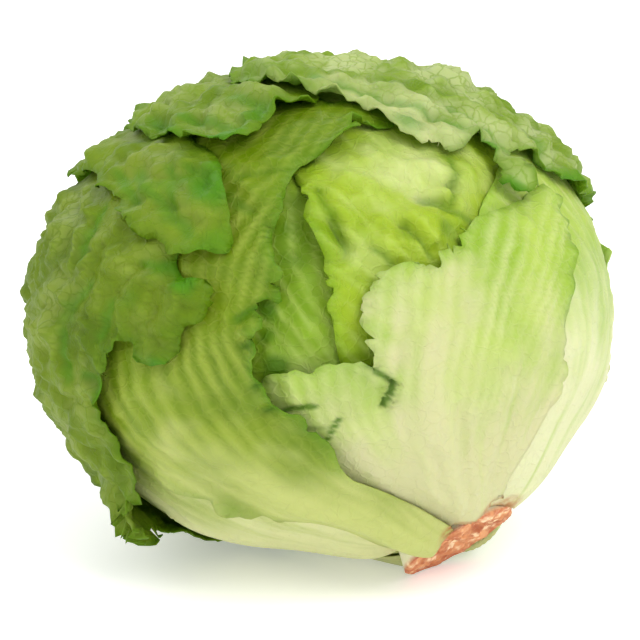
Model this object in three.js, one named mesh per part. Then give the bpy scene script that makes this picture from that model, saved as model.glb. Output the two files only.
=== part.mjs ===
// A head of crisphead lettuce, cut and lying on its side. Millimetres, +Z up.
// The origin is the middle of the flat spot that the head rests on, straight below its middle.
//
// Every surface is a distance out from the middle of the head, along directions given by two angles:
// the azimuth turns round the stem (0 is up in the front view, +90 to the right) and the polar angle
// opens from the stem (0) to the crown (180). The leaves lie in layers over one shared net of
// directions, so that no leaf can cut through its neighbour.

import * as THREE from "three";

// Head
const HEAD_RADII = new THREE.Vector3(86, 82, 73);
const CENTRE = new THREE.Vector3(0, 0, 72);
const STEM_TURN = new THREE.Vector3(0.457, -0.443, -0.771).normalize();
const ARC = 80;
const TOP_LEVEL = -1;
const NECK_RISE = 4.5;
const NECK_END = 36;
const SWELL = 1.2;
const SWELL_PITCH = 95;
const SWELL_SHIFT = 0.6;
const SWELL_START = 20;
const SWELL_FULL = 60;

// Leaves
const BLADE = 1.0;
const PETIOLE = 2.0;
const PETIOLE_END = 50;
const LEAF_GAP = 1.3;
const PETIOLE_GAP = 0.6;
const STEP_SHARE = 0.5;
const PETIOLE_STEP_SHARE = 0.4;
const LAP_MARGIN = 4;
const LAP_RAMP = 14;
const PETIOLE_LAP_RAMP = 6;
const COVER_MARGIN = 10;
const COVER_RAMP = 14;
const LOBE_DEPTH = 5;
const LOBE_PITCH = 26;
const LOBES_START = 30;
const LOBES_FULL = 50;
const CURL_PITCH = 32;
const CURL_REACH = 9;
const CURL_START = 26;
const CURL_FULL = 44;
const CURL_PEAK = 1.6;
const CURL_SHARPNESS = 1.5;
const RIB_TIP_SHARE = 0.35;
const RIB_FADE = 0.8;
const RIB_MARGIN = 8;
const GROUND_END = 18;
const FREE_START = 34;
const OUTLINE_STEPS = 96;
const LEAF_START = 12.4;
const LEAF_TRIM = 1.8;
const CUT_KEEP = 0.2;

// Stem and heart
const STEM_LENGTH = 83;
const STEM_ANGLE = 11.6;
const STEM_ROOT = 0.6;
const STEM_SIDES = 30;
const STEM_ROUGHNESS = 0.9;
const STEM_ROUGH_PITCH = 11;
const STEM_ROUGH_SHIFT = 2.2;
const HEART_FLOOR = 0.55;
const HEART_CLEARANCE = 2.2;
const HEART_STEP = 12;
const HEART_SIDES = 32;
const HEART_END = 176;
const HEART_NECK = { sides: 16, end: 20, inset: 0.2 };
const HEART_FOLD = { height: 1.6, pitch: 60, shift: 4.1 };

// The stem's rings from its root to its cut: degrees inside its edge and its share of the length.
const STEM_WALL = [
  [0.8, STEM_ROOT],
  [0.4, 0.85],
  [0.1, 1.0],
];

// The cut's rings from its edge inwards: the share of its angle, and how far it has sunk.
const STEM_CUT = [
  [1, 0.6],
  [0.9, 0],
  [0.62, 0.7],
  [0.32, 1.2],
];
const STEM_HOLLOW = 1.3;

const LEAF_FINISH = { roughness: 0.55 };
const HEART_FINISH = { colour: 0xe4ebb6, roughness: 0.6 };
const STEM_FINISH = { colour: 0xb9743e, roughness: 0.8 };

const { clamp, smoothstep } = THREE.MathUtils;
const DEG = Math.PI / 180;
const UP = new THREE.Vector3(0, 0, 1);
const AXIS_UP = UP.clone().addScaledVector(STEM_TURN, -UP.dot(STEM_TURN)).normalize();
const AXIS_RIGHT = new THREE.Vector3().crossVectors(AXIS_UP, STEM_TURN);
const STEM_AXIS = STEM_TURN.clone().multiply(HEAD_RADII).normalize();

// The leaves from the inside out. Each has a middle and an outline of [azimuth, polar] points, its
// midrib's azimuth at the stem and how far that has turned at the tip, the rib's height and half
// width in millimetres, and how far its free edges curl out.
const LEAVES = [
  {
    name: "leaf_inner_left",
    colour: 0xc9dc8e,
    middle: [-48, 65],
    outline: [
      [-52, 5], [-96, 11], [-90, 35], [-90, 65], [-80, 92], [-62, 110], [-40, 117],
      [-18, 108], [-8, 80], [-10, 45], [-10, 20], [-8, 11],
    ],
    rib: { azimuth: -55, turn: 0, height: 3, width: 7, end: 80 },
    curl: 1.5,
  },
  {
    name: "leaf_inner_front",
    colour: 0xb2d455,
    middle: [0, 78],
    outline: [
      [0, 5], [-42, 11], [-37, 30], [-41, 49], [-44, 62], [-41, 75], [-39, 87], [-35, 97],
      [-28, 106], [-14, 116], [10, 121], [35, 117], [46, 98], [45, 75], [42, 50], [40, 30], [42, 11],
    ],
    rib: { azimuth: 0, turn: 0, height: 2, width: 6, end: 80 },
    curl: 2.5,
  },
  {
    name: "leaf_inner_right",
    colour: 0xd3e4a4,
    middle: [50, 62],
    outline: [
      [30, 5], [-18, 11], [-18, 35], [-14, 60], [-4, 85], [25, 104], [50, 112], [76, 106],
      [94, 88], [98, 62], [94, 38], [94, 11],
    ],
    rib: { azimuth: 52, turn: 0, height: 3.5, width: 8, end: 95 },
    curl: 1.5,
  },
  {
    name: "leaf_underside",
    colour: 0xd5dfa0,
    middle: [-124, 62],
    outline: [
      [-125, 5], [-80, 11], [-84, 35], [-86, 60], [-92, 85], [-108, 100], [-128, 102],
      [-150, 94], [-163, 70], [-164, 40], [-170, 11],
    ],
    rib: { azimuth: -122, turn: 0, height: 3.5, width: 8, end: 90 },
    curl: 1.5,
  },
  {
    name: "leaf_front_rib",
    colour: 0xd2e39c,
    middle: [-10, 52],
    outline: [
      [-8, 5], [-58, 11], [-70, 22], [-78, 34], [-79, 50], [-72, 64], [-61, 70], [-50, 69],
      [-42, 65], [-40, 71], [-37, 77], [-31, 80], [-20, 79], [-6, 83], [9, 87], [20, 88], [20, 84],
      [17, 73], [12, 62], [9, 53], [8, 40], [2, 28], [-4, 21], [2, 11],
    ],
    rib: { azimuth: -25, turn: 24, height: 7, width: 8, end: 84 },
    curl: 2,
  },
  {
    name: "leaf_front_left",
    colour: 0xa9c44a,
    middle: [-74, 92],
    outline: [
      [-92, 5], [-46, 11], [-51, 22], [-58, 33], [-62, 44], [-60, 52], [-61, 69], [-55, 80],
      [-50, 91], [-40, 98], [-38, 107], [-24, 110], [-7, 113], [-8, 122], [-28, 132],
      [-55, 137], [-85, 130], [-106, 112], [-118, 92], [-115, 70], [-106, 53], [-97, 39],
      [-95, 27], [-126, 11],
    ],
    rib: { azimuth: -76, turn: -14, height: 5, width: 8, end: 80 },
    curl: 3,
  },
  {
    name: "leaf_back_right",
    colour: 0xc3d98a,
    middle: [100, 62],
    outline: [
      [100, 5], [58, 11], [60, 35], [55, 60], [62, 84], [80, 100], [105, 106], [130, 98],
      [146, 75], [145, 42], [144, 11],
    ],
    rib: { azimuth: 100, turn: 0, height: 4, width: 8, end: 95 },
    curl: 2,
  },
  {
    name: "leaf_outer_left",
    colour: 0x7f9a2f,
    middle: [-122, 98],
    outline: [
      [-160, 5], [-128, 11], [-140, 30], [-143, 46], [-138, 57], [-125, 66], [-110, 70],
      [-99, 78], [-93, 87], [-80, 83], [-71, 88], [-67, 99], [-62, 112], [-58, 126],
      [-82, 147], [-115, 151], [-150, 142], [-172, 118], [-178, 90], [180, 60], [175, 35],
      [164, 11],
    ],
    rib: { azimuth: -158, turn: 8, height: 4, width: 8, end: 100 },
    curl: 3,
  },
  {
    name: "leaf_shoulder",
    colour: 0x8fa845,
    middle: [-120, 132],
    outline: [
      [-174, 5], [-130, 11], [-146, 35], [-158, 60], [-154, 85], [-140, 108], [-115, 126],
      [-92, 133], [-82, 133], [-72, 119], [-66, 106], [-59, 101], [-51, 104], [-48, 112],
      [-46, 120], [-50, 135], [-50, 155], [-160, 160], [170, 140], [162, 110], [162, 75],
      [162, 40], [144, 11],
    ],
    rib: { azimuth: -172, turn: 14, height: 4, width: 8, end: 110 },
    curl: 2.5,
  },
  {
    name: "leaf_top_left",
    colour: 0x9db566,
    middle: [-178, 142],
    outline: [
      [178, 5], [-138, 11], [-158, 35], [-168, 65], [-172, 95], [-165, 120], [-140, 138],
      [-100, 146], [-70, 143], [-60, 135], [-49, 125], [-39, 119], [-33, 122], [-27, 125],
      [-22, 123], [-14, 129], [-8, 138], [30, 152], [90, 152], [128, 135], [142, 108],
      [148, 75], [146, 40], [134, 11],
    ],
    rib: { azimuth: 176, turn: 6, height: 5, width: 9, end: 120 },
    curl: 2.5,
  },
  {
    name: "leaf_top_right",
    colour: 0x9fb968,
    middle: [84, 118],
    outline: [
      [122, 5], [78, 11], [98, 32], [104, 48], [94, 62], [70, 72], [48, 76], [31, 75],
      [24, 81], [23, 88], [17, 92], [11, 88], [10, 96], [8, 103], [2, 101], [-7, 104],
      [-9, 112], [-11, 119], [-18, 130], [-24, 141], [-22, 152], [60, 166], [130, 156],
      [152, 138], [160, 115], [162, 90], [161, 62], [158, 35], [166, 11],
    ],
    rib: { azimuth: 124, turn: -20, height: 4, width: 8, end: 110 },
    curl: 2.5,
  },
];

// Where the outer left leaf's margin has come loose, it hangs from the head down to the ground.
const HANG = { leaf: "leaf_outer_left", azimuth: -122, polar: 68, spread: 11, drop: 13, reach: 14 };

// Places where the real head departs from an even egg: [azimuth, polar, spread in degrees, rise].
const DENTS = [
  [-80, 146, 26, -5],
  [52, 106, 26, 2],
  [45, 55, 24, 2],
  [-145, 27, 15, -5],
  [75, 24, 15, -3],
];

function direction(azimuth, polar) {
  const a = azimuth * DEG;
  const p = polar * DEG;
  return STEM_TURN.clone()
    .multiplyScalar(Math.cos(p))
    .addScaledVector(AXIS_UP, Math.sin(p) * Math.cos(a))
    .addScaledVector(AXIS_RIGHT, Math.sin(p) * Math.sin(a));
}

function polarOf(n) {
  return Math.acos(clamp(n.dot(STEM_TURN), -1, 1)) / DEG;
}

function fade(value, start, end) {
  return 1 - smoothstep(value, start, end);
}

// Slow swells and bends, as sums of waves through space, all between 0 and 1.
function wave(n, pitch, shift) {
  const k = (2 * Math.PI * ARC) / pitch;
  const a = Math.sin(k * (0.62 * n.x + 0.55 * n.y - 0.56 * n.z) + shift);
  const b = Math.sin(k * (0.71 * n.y + 0.43 * n.z - 0.56 * n.x) + 1.7 * shift);
  const c = Math.sin(k * (0.74 * n.z + 0.52 * n.x + 0.42 * n.y) + 2.3 * shift);
  return 0.5 + (a + b + c) / 6;
}

// A leaf's outline as a closed curve on the sphere of directions.
class Outline {
  constructor(leaf) {
    this.middle = direction(...leaf.middle);
    this.across = new THREE.Vector3().crossVectors(UP, this.middle).normalize();
    this.along = new THREE.Vector3().crossVectors(this.middle, this.across);
    const points = leaf.outline.map(([azimuth, polar]) => direction(azimuth, polar));
    const curve = new THREE.CatmullRomCurve3(points, true, "centripetal");
    this.rim = curve.getSpacedPoints(OUTLINE_STEPS).slice(0, OUTLINE_STEPS).map((p) => p.normalize());
    this.chart = this.rim.map((p) => this.flatten(p));
  }

  // A flat chart of the directions round the leaf's middle.
  flatten(n) {
    const reach = Math.acos(clamp(n.dot(this.middle), -1, 1));
    const bearing = Math.atan2(n.dot(this.along), n.dot(this.across));
    return new THREE.Vector2(reach * Math.cos(bearing), reach * Math.sin(bearing));
  }

  holds(n) {
    const p = this.flatten(n);
    let inside = false;
    this.chart.forEach((a, i) => {
      const b = this.chart[(i + 1) % this.chart.length];
      const level = (p.y - a.y) / (b.y - a.y);
      if (a.y > p.y !== b.y > p.y && p.x < a.x + (b.x - a.x) * level) inside = !inside;
    });
    return inside;
  }

  // Millimetres inside the outline, or below zero outside it.
  depth(n) {
    let nearest = Infinity;
    const side = new THREE.Line3();
    const foot = new THREE.Vector3();
    this.rim.forEach((p, i) => {
      side.set(p, this.rim[(i + 1) % this.rim.length]);
      side.closestPointToPoint(n, true, foot);
      nearest = Math.min(nearest, foot.distanceTo(n));
    });
    return (this.holds(n) ? nearest : -nearest) * ARC;
  }
}

const OUTLINES = LEAVES.map((leaf) => new Outline(leaf));

// The net of directions: rings round the stem, with more sides where the head is wide.
const RINGS = [];
for (const [start, end, step, sides] of [
  [LEAF_START, 24, 6, 16],
  [24.4, 42, 6.8, 32],
  [44.8, 132, 6.9, 64],
  [134.5, 152, 6.9, 32],
  [155.2, 172, 7.5, 16],
]) {
  for (let polar = start; polar < end; polar += step) RINGS.push({ polar, sides });
}

function ringNet(rings, capped) {
  const nodes = [];
  const faces = [];
  const starts = [];
  for (const { polar, sides } of rings) {
    starts.push(nodes.length);
    for (let i = 0; i < sides; i += 1) nodes.push(direction((360 * i) / sides, polar));
  }
  for (let r = 0; r + 1 < rings.length; r += 1) {
    const near = rings[r].sides;
    const far = rings[r + 1].sides;
    const a = (i) => starts[r] + (i % near);
    const b = (i) => starts[r + 1] + (i % far);
    for (let i = 0; i < Math.min(near, far); i += 1) {
      if (near === far && (i + r) % 2) faces.push([a(i), a(i + 1), b(i)], [a(i + 1), b(i + 1), b(i)]);
      if (near === far && !((i + r) % 2)) faces.push([a(i), a(i + 1), b(i + 1)], [a(i), b(i + 1), b(i)]);
      if (near < far) {
        faces.push([a(i), b(2 * i + 1), b(2 * i)], [a(i), a(i + 1), b(2 * i + 1)]);
        faces.push([a(i + 1), b(2 * i + 2), b(2 * i + 1)]);
      }
      if (near > far) {
        faces.push([a(2 * i), a(2 * i + 1), b(i)], [a(2 * i + 1), b(i + 1), b(i)]);
        faces.push([a(2 * i + 1), a(2 * i + 2), b(i + 1)]);
      }
    }
  }
  if (capped) {
    const last = rings.length - 1;
    const crown = nodes.push(direction(0, 180)) - 1;
    for (let i = 0; i < rings[last].sides; i += 1) {
      faces.push([starts[last] + i, starts[last] + ((i + 1) % rings[last].sides), crown]);
    }
  }
  return { nodes, faces, starts };
}

const NET = ringNet(RINGS, true);

// Levels are millimetres out from the even egg.
function topLevel(n) {
  const polar = polarOf(n);
  let level = TOP_LEVEL + NECK_RISE * fade(polar, LEAF_START, NECK_END);
  const swell = 2 * wave(n, SWELL_PITCH, SWELL_SHIFT) - 1;
  level += SWELL * swell * smoothstep(polar, SWELL_START, SWELL_FULL);
  for (const [azimuth, angle, spread, rise] of DENTS) {
    const away = n.angleTo(direction(azimuth, angle)) / DEG;
    level += rise * Math.exp(-((away / spread) ** 2));
  }
  return level;
}

// A value that changes from its size at the stem to its size out on the blade.
function taper(n, atStem, onBlade) {
  return onBlade + (atStem - onBlade) * fade(polarOf(n), LEAF_START, PETIOLE_END);
}

// What holds for one direction: how deep it lies in each leaf, and the levels of all layers there.
function survey(n) {
  const depths = OUTLINES.map((outline) => outline.depth(n));
  const ramp = taper(n, PETIOLE_LAP_RAMP, LAP_RAMP);
  const laps = depths.map((depth) => fade(-depth, LAP_MARGIN, LAP_MARGIN + ramp));
  const covers = depths.map((depth) => fade(-depth, COVER_MARGIN, COVER_MARGIN + COVER_RAMP));
  const thickness = taper(n, PETIOLE, BLADE);
  const spacing = thickness + taper(n, PETIOLE_GAP, LEAF_GAP);
  const first = LEAVES.findIndex((leaf) => leaf.name === "leaf_front_rib");
  let level = topLevel(n);
  const share = taper(n, PETIOLE_STEP_SHARE, STEP_SHARE);
  for (let k = first; k < LEAVES.length; k += 1) level += share * spacing * laps[k];
  const lowest = place(n, level, 0).z;
  const press = Math.max(0, -lowest);
  const outer = [];
  const shown = [];
  let shade = 0;
  for (let k = LEAVES.length - 1; k >= 0; k -= 1) {
    outer[k] = level;
    shown[k] = 1 - shade;
    level -= spacing * laps[k];
    shade = Math.max(shade, covers[k]);
  }
  return { n, depths, thickness, outer, shown, press, core: level };
}

function place(n, level, press) {
  const p = n.clone().multiply(HEAD_RADII).multiplyScalar(1 + level / ARC).add(CENTRE);
  p.z += press;
  return p;
}

// The midrib: a tapering ridge that starts at the stem and fades before the tip.
function ribRise(leaf, n) {
  const { azimuth, turn, height, width, end } = leaf.rib;
  const polar = polarOf(n);
  const share = clamp((polar - LEAF_START) / (end - LEAF_START), 0, 1);
  const line = direction(azimuth + turn * share * share, polar);
  const away = line.angleTo(n) * ARC;
  const left = 1 - share;
  const half = width * (RIB_TIP_SHARE + (1 - RIB_TIP_SHARE) * left);
  return height * left ** RIB_FADE * Math.exp(-0.5 * (away / half) ** 2);
}

// Free edges curl outwards in waves.
function edgeCurl(leaf, n, depth) {
  const inside = Math.max(depth, 0);
  const ripple = CURL_PEAK * wave(n, CURL_PITCH, leaf.rib.azimuth) ** CURL_SHARPNESS;
  let rise = leaf.curl * ripple * Math.exp(-inside / CURL_REACH);
  if (leaf.name === HANG.leaf) {
    const away = n.angleTo(direction(HANG.azimuth, HANG.polar)) / DEG;
    rise += HANG.drop * Math.exp(-((away / HANG.spread) ** 2)) * Math.exp(-inside / HANG.reach);
  }
  return rise * smoothstep(polarOf(n), CURL_START, CURL_FULL);
}

const POINTS = NET.nodes.map(survey);

function meshOf(name, positions, triangles, colour, roughness) {
  const geometry = new THREE.BufferGeometry();
  const numbers = positions.flatMap((p) => p.toArray());
  geometry.setAttribute("position", new THREE.Float32BufferAttribute(numbers, 3));
  geometry.setIndex(triangles.flat());
  geometry.computeVertexNormals();
  const material = new THREE.MeshStandardMaterial({ color: colour, roughness, metalness: 0 });
  const mesh = new THREE.Mesh(geometry, material);
  mesh.name = name;
  return mesh;
}

// How far the ragged edge is bitten in at a direction, or out where it is below zero.
function lobeDepth(n, k) {
  const full = smoothstep(polarOf(n), LOBES_START, LOBES_FULL);
  return LOBE_DEPTH * (wave(n, LOBE_PITCH, 3 * k) - 0.5) * full;
}

// How far a leaf's skin lies behind the stem's cut, which trims all the leaves.
function behindCut({ n, outer, press }, k) {
  return STEM_LENGTH - LEAF_TRIM - place(n, outer[k], press).sub(CENTRE).dot(STEM_AXIS);
}

// Cuts the net along a leaf's ragged outline. The cut keeps clear of the net's own corners.
function cutNet(leaf, k) {
  const inside = POINTS.map((point) => {
    return Math.min(point.depths[k] - lobeDepth(point.n, k), behindCut(point, k));
  });
  const corners = [];
  const index = new Map();
  const faces = [];
  const corner = (a, b) => {
    const key = a < b ? `${a} ${b}` : `${b} ${a}`;
    if (!index.has(key)) {
      const [low, high] = a < b ? [a, b] : [b, a];
      const share = low === high ? 0 : inside[low] / (inside[low] - inside[high]);
      corners.push({ low, high, share: low === high ? 0 : clamp(share, CUT_KEEP, 1 - CUT_KEEP) });
      index.set(key, corners.length - 1);
    }
    return index.get(key);
  };
  for (const face of NET.faces) {
    const loop = [];
    face.forEach((a, i) => {
      const b = face[(i + 1) % 3];
      if (inside[a] > 0) loop.push(corner(a, a));
      if (inside[a] > 0 !== inside[b] > 0) loop.push(corner(a, b));
    });
    if (loop.length > 2) faces.push([loop[0], loop[1], loop[2]]);
    if (loop.length > 3) faces.push([loop[0], loop[2], loop[3]]);
  }
  return { corners, faces };
}

function leafMesh(leaf, k) {
  const { corners, faces } = cutNet(leaf, k);
  const face = (pick) => (id) => place(POINTS[id].n, pick(POINTS[id]), POINTS[id].press);
  const outside = face((p) => p.outer[k]);
  const inside = face((p) => p.outer[k] - p.thickness);
  const outerSkin = [];
  const innerSkin = [];
  for (const { low, high, share } of corners) {
    const n = POINTS[low].n.clone().lerp(POINTS[high].n, share).normalize();
    const shown = POINTS[low].shown[k] * (1 - share) + POINTS[high].shown[k] * share;
    const depth = low === high ? POINTS[low].depths[k] : 0;
    const grounded = fade(n.angleTo(UP.clone().negate()) / DEG, GROUND_END, FREE_START);
    const free = shown * (1 - grounded);
    const curl = free * edgeCurl(leaf, n, depth);
    const rib = free * ribRise(leaf, n) * smoothstep(depth, 0, RIB_MARGIN);
    const outward = n.clone().multiply(HEAD_RADII).divideScalar(ARC);
    outerSkin.push(outside(low).lerp(outside(high), share).addScaledVector(outward, curl + rib));
    innerSkin.push(inside(low).lerp(inside(high), share).addScaledVector(outward, curl));
  }
  const count = corners.length;
  const triangles = [];
  const sides = new Set();
  for (const [a, b, c] of faces) {
    triangles.push([a, b, c], [a + count, c + count, b + count]);
    for (const [p, q] of [[a, b], [b, c], [c, a]]) sides.add(`${p} ${q}`);
  }
  for (const side of sides) {
    const [p, q] = side.split(" ").map(Number);
    if (sides.has(`${q} ${p}`)) continue;
    triangles.push([q, p, p + count], [q, p + count, q + count]);
  }
  return meshOf(leaf.name, [...outerSkin, ...innerSkin], triangles, leaf.colour, LEAF_FINISH.roughness);
}

// The heart: the closed core under all the leaves, with a socket that the stem stands in.
function heart() {
  const rings = [];
  for (let polar = LEAF_START; polar < HEART_END; polar += HEART_STEP) {
    rings.push({ polar, sides: polar < HEART_NECK.end ? HEART_NECK.sides : HEART_SIDES });
  }
  const net = ringNet(rings, true);
  const skin = net.nodes.map((n) => {
    const { core, press } = survey(n);
    const fold = HEART_FOLD.height * wave(n, HEART_FOLD.pitch, HEART_FOLD.shift);
    return place(n, core - HEART_CLEARANCE - fold, press);
  });
  const wall = net.nodes.slice(0, rings[0].sides).map((n, i) => {
    const azimuth = (360 * i) / rings[0].sides;
    return place(direction(azimuth, LEAF_START - HEART_NECK.inset), (HEART_FLOOR - 1) * ARC, 0);
  });
  const middle = place(STEM_TURN, (HEART_FLOOR - 1) * ARC, 0);
  const base = skin.length;
  const triangles = [...net.faces];
  for (let i = 0; i < wall.length; i += 1) {
    const j = (i + 1) % wall.length;
    triangles.push([j, i, base + i], [j, base + i, base + j], [base + j, base + i, base + wall.length]);
  }
  return meshOf("heart", [...skin, ...wall, middle], triangles, HEART_FINISH.colour, HEART_FINISH.roughness);
}

// The stem: a tapering plug with a rough, slightly hollow cut across its end.
function stem() {
  const cutPoint = (azimuth, polar, sink) => {
    const n = direction(azimuth, polar);
    const ray = n.clone().multiply(HEAD_RADII);
    const bumps = STEM_ROUGHNESS * wave(n, STEM_ROUGH_PITCH, STEM_ROUGH_SHIFT);
    const rough = bumps * Math.sin((Math.PI * polar) / STEM_ANGLE) ** 0.5;
    return ray.multiplyScalar((STEM_LENGTH - sink - rough) / ray.dot(STEM_AXIS)).add(CENTRE);
  };
  const side = (azimuth, polar, share) => place(direction(azimuth, polar), (share - 1) * ARC, 0);
  const rings = [
    ...STEM_WALL.map(([inset, share]) => (azimuth) => side(azimuth, STEM_ANGLE - inset, share)),
    ...STEM_CUT.map(([share, sink]) => (azimuth) => cutPoint(azimuth, STEM_ANGLE * share, sink)),
  ];
  const skin = [];
  for (const ring of rings) {
    for (let i = 0; i < STEM_SIDES; i += 1) skin.push(ring((360 * i) / STEM_SIDES));
  }
  skin.push(place(STEM_TURN, (STEM_ROOT - 1) * ARC, 0), cutPoint(0, 0, STEM_HOLLOW));
  const triangles = [];
  for (let i = 0; i < STEM_SIDES; i += 1) {
    const j = (i + 1) % STEM_SIDES;
    triangles.push([skin.length - 2, i, j]);
    for (let r = 0; r + 1 < rings.length; r += 1) {
      const a = r * STEM_SIDES;
      const b = a + STEM_SIDES;
      triangles.push([a + i, b + i, b + j], [a + i, b + j, a + j]);
    }
    const last = (rings.length - 1) * STEM_SIDES;
    triangles.push([last + j, last + i, skin.length - 1]);
  }
  return meshOf("stem", skin, triangles, STEM_FINISH.colour, STEM_FINISH.roughness);
}

const head = new THREE.Group();
head.add(stem(), heart(), ...LEAVES.map(leafMesh));

export default head;
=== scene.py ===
"""A head of crisphead lettuce lying on its side, its leaves and cut stem modelled over the frame.

Every surface is a level, in millimetres out from an even egg, along directions given by two angles:
the azimuth turns round the stem (0 is up in the front view, +90 to the right), and the polar angle
opens from the stem (0) to the crown (180). The leaves lie in layers over one shared net.
"""

from __future__ import annotations

import logging
import math
from dataclasses import dataclass, field
from enum import Enum
from typing import ClassVar

import bmesh
import bpy
import numpy as np
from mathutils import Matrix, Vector, noise


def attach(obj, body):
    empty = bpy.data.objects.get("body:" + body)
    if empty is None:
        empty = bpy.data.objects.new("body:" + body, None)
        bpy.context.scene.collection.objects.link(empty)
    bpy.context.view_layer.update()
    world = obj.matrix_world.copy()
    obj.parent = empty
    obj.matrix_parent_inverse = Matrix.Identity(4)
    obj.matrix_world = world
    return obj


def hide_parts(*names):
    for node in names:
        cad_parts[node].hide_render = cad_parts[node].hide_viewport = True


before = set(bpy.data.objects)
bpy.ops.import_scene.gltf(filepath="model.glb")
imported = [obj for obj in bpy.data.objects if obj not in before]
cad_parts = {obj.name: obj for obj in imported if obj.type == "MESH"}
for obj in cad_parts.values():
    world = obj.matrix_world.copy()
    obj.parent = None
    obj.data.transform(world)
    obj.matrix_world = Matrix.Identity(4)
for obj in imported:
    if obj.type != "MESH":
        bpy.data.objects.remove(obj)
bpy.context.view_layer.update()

LOG = logging.getLogger("lettuce")
MM = 0.001
Colour = tuple[float, float, float]


def smoothstep(value: np.ndarray, start: float, end: float) -> np.ndarray:
    """Rises from 0 at start to 1 at end."""
    t = np.clip((value - start) / (end - start), 0.0, 1.0)
    return t * t * (3.0 - 2.0 * t)


def fade(value: np.ndarray, start: float, end: float) -> np.ndarray:
    """Falls from 1 at start to 0 at end."""
    return 1.0 - smoothstep(value, start, end)


def unit(vectors: np.ndarray) -> np.ndarray:
    """The vectors at length one."""
    return vectors / np.linalg.norm(vectors, axis=-1, keepdims=True)


def linear(code: str) -> Colour:
    """A screen colour, as six hex digits, in linear light."""
    parts = [int(code[i:i + 2], 16) / 255.0 for i in (0, 2, 4)]
    return tuple(c / 12.92 if c <= 0.04045 else ((c + 0.055) / 1.055) ** 2.4 for c in parts)


@dataclass(frozen=True)
class Dent:
    """A place where the head departs from an even egg, in degrees and millimetres."""

    azimuth: float
    polar: float
    spread: float
    rise: float


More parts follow.
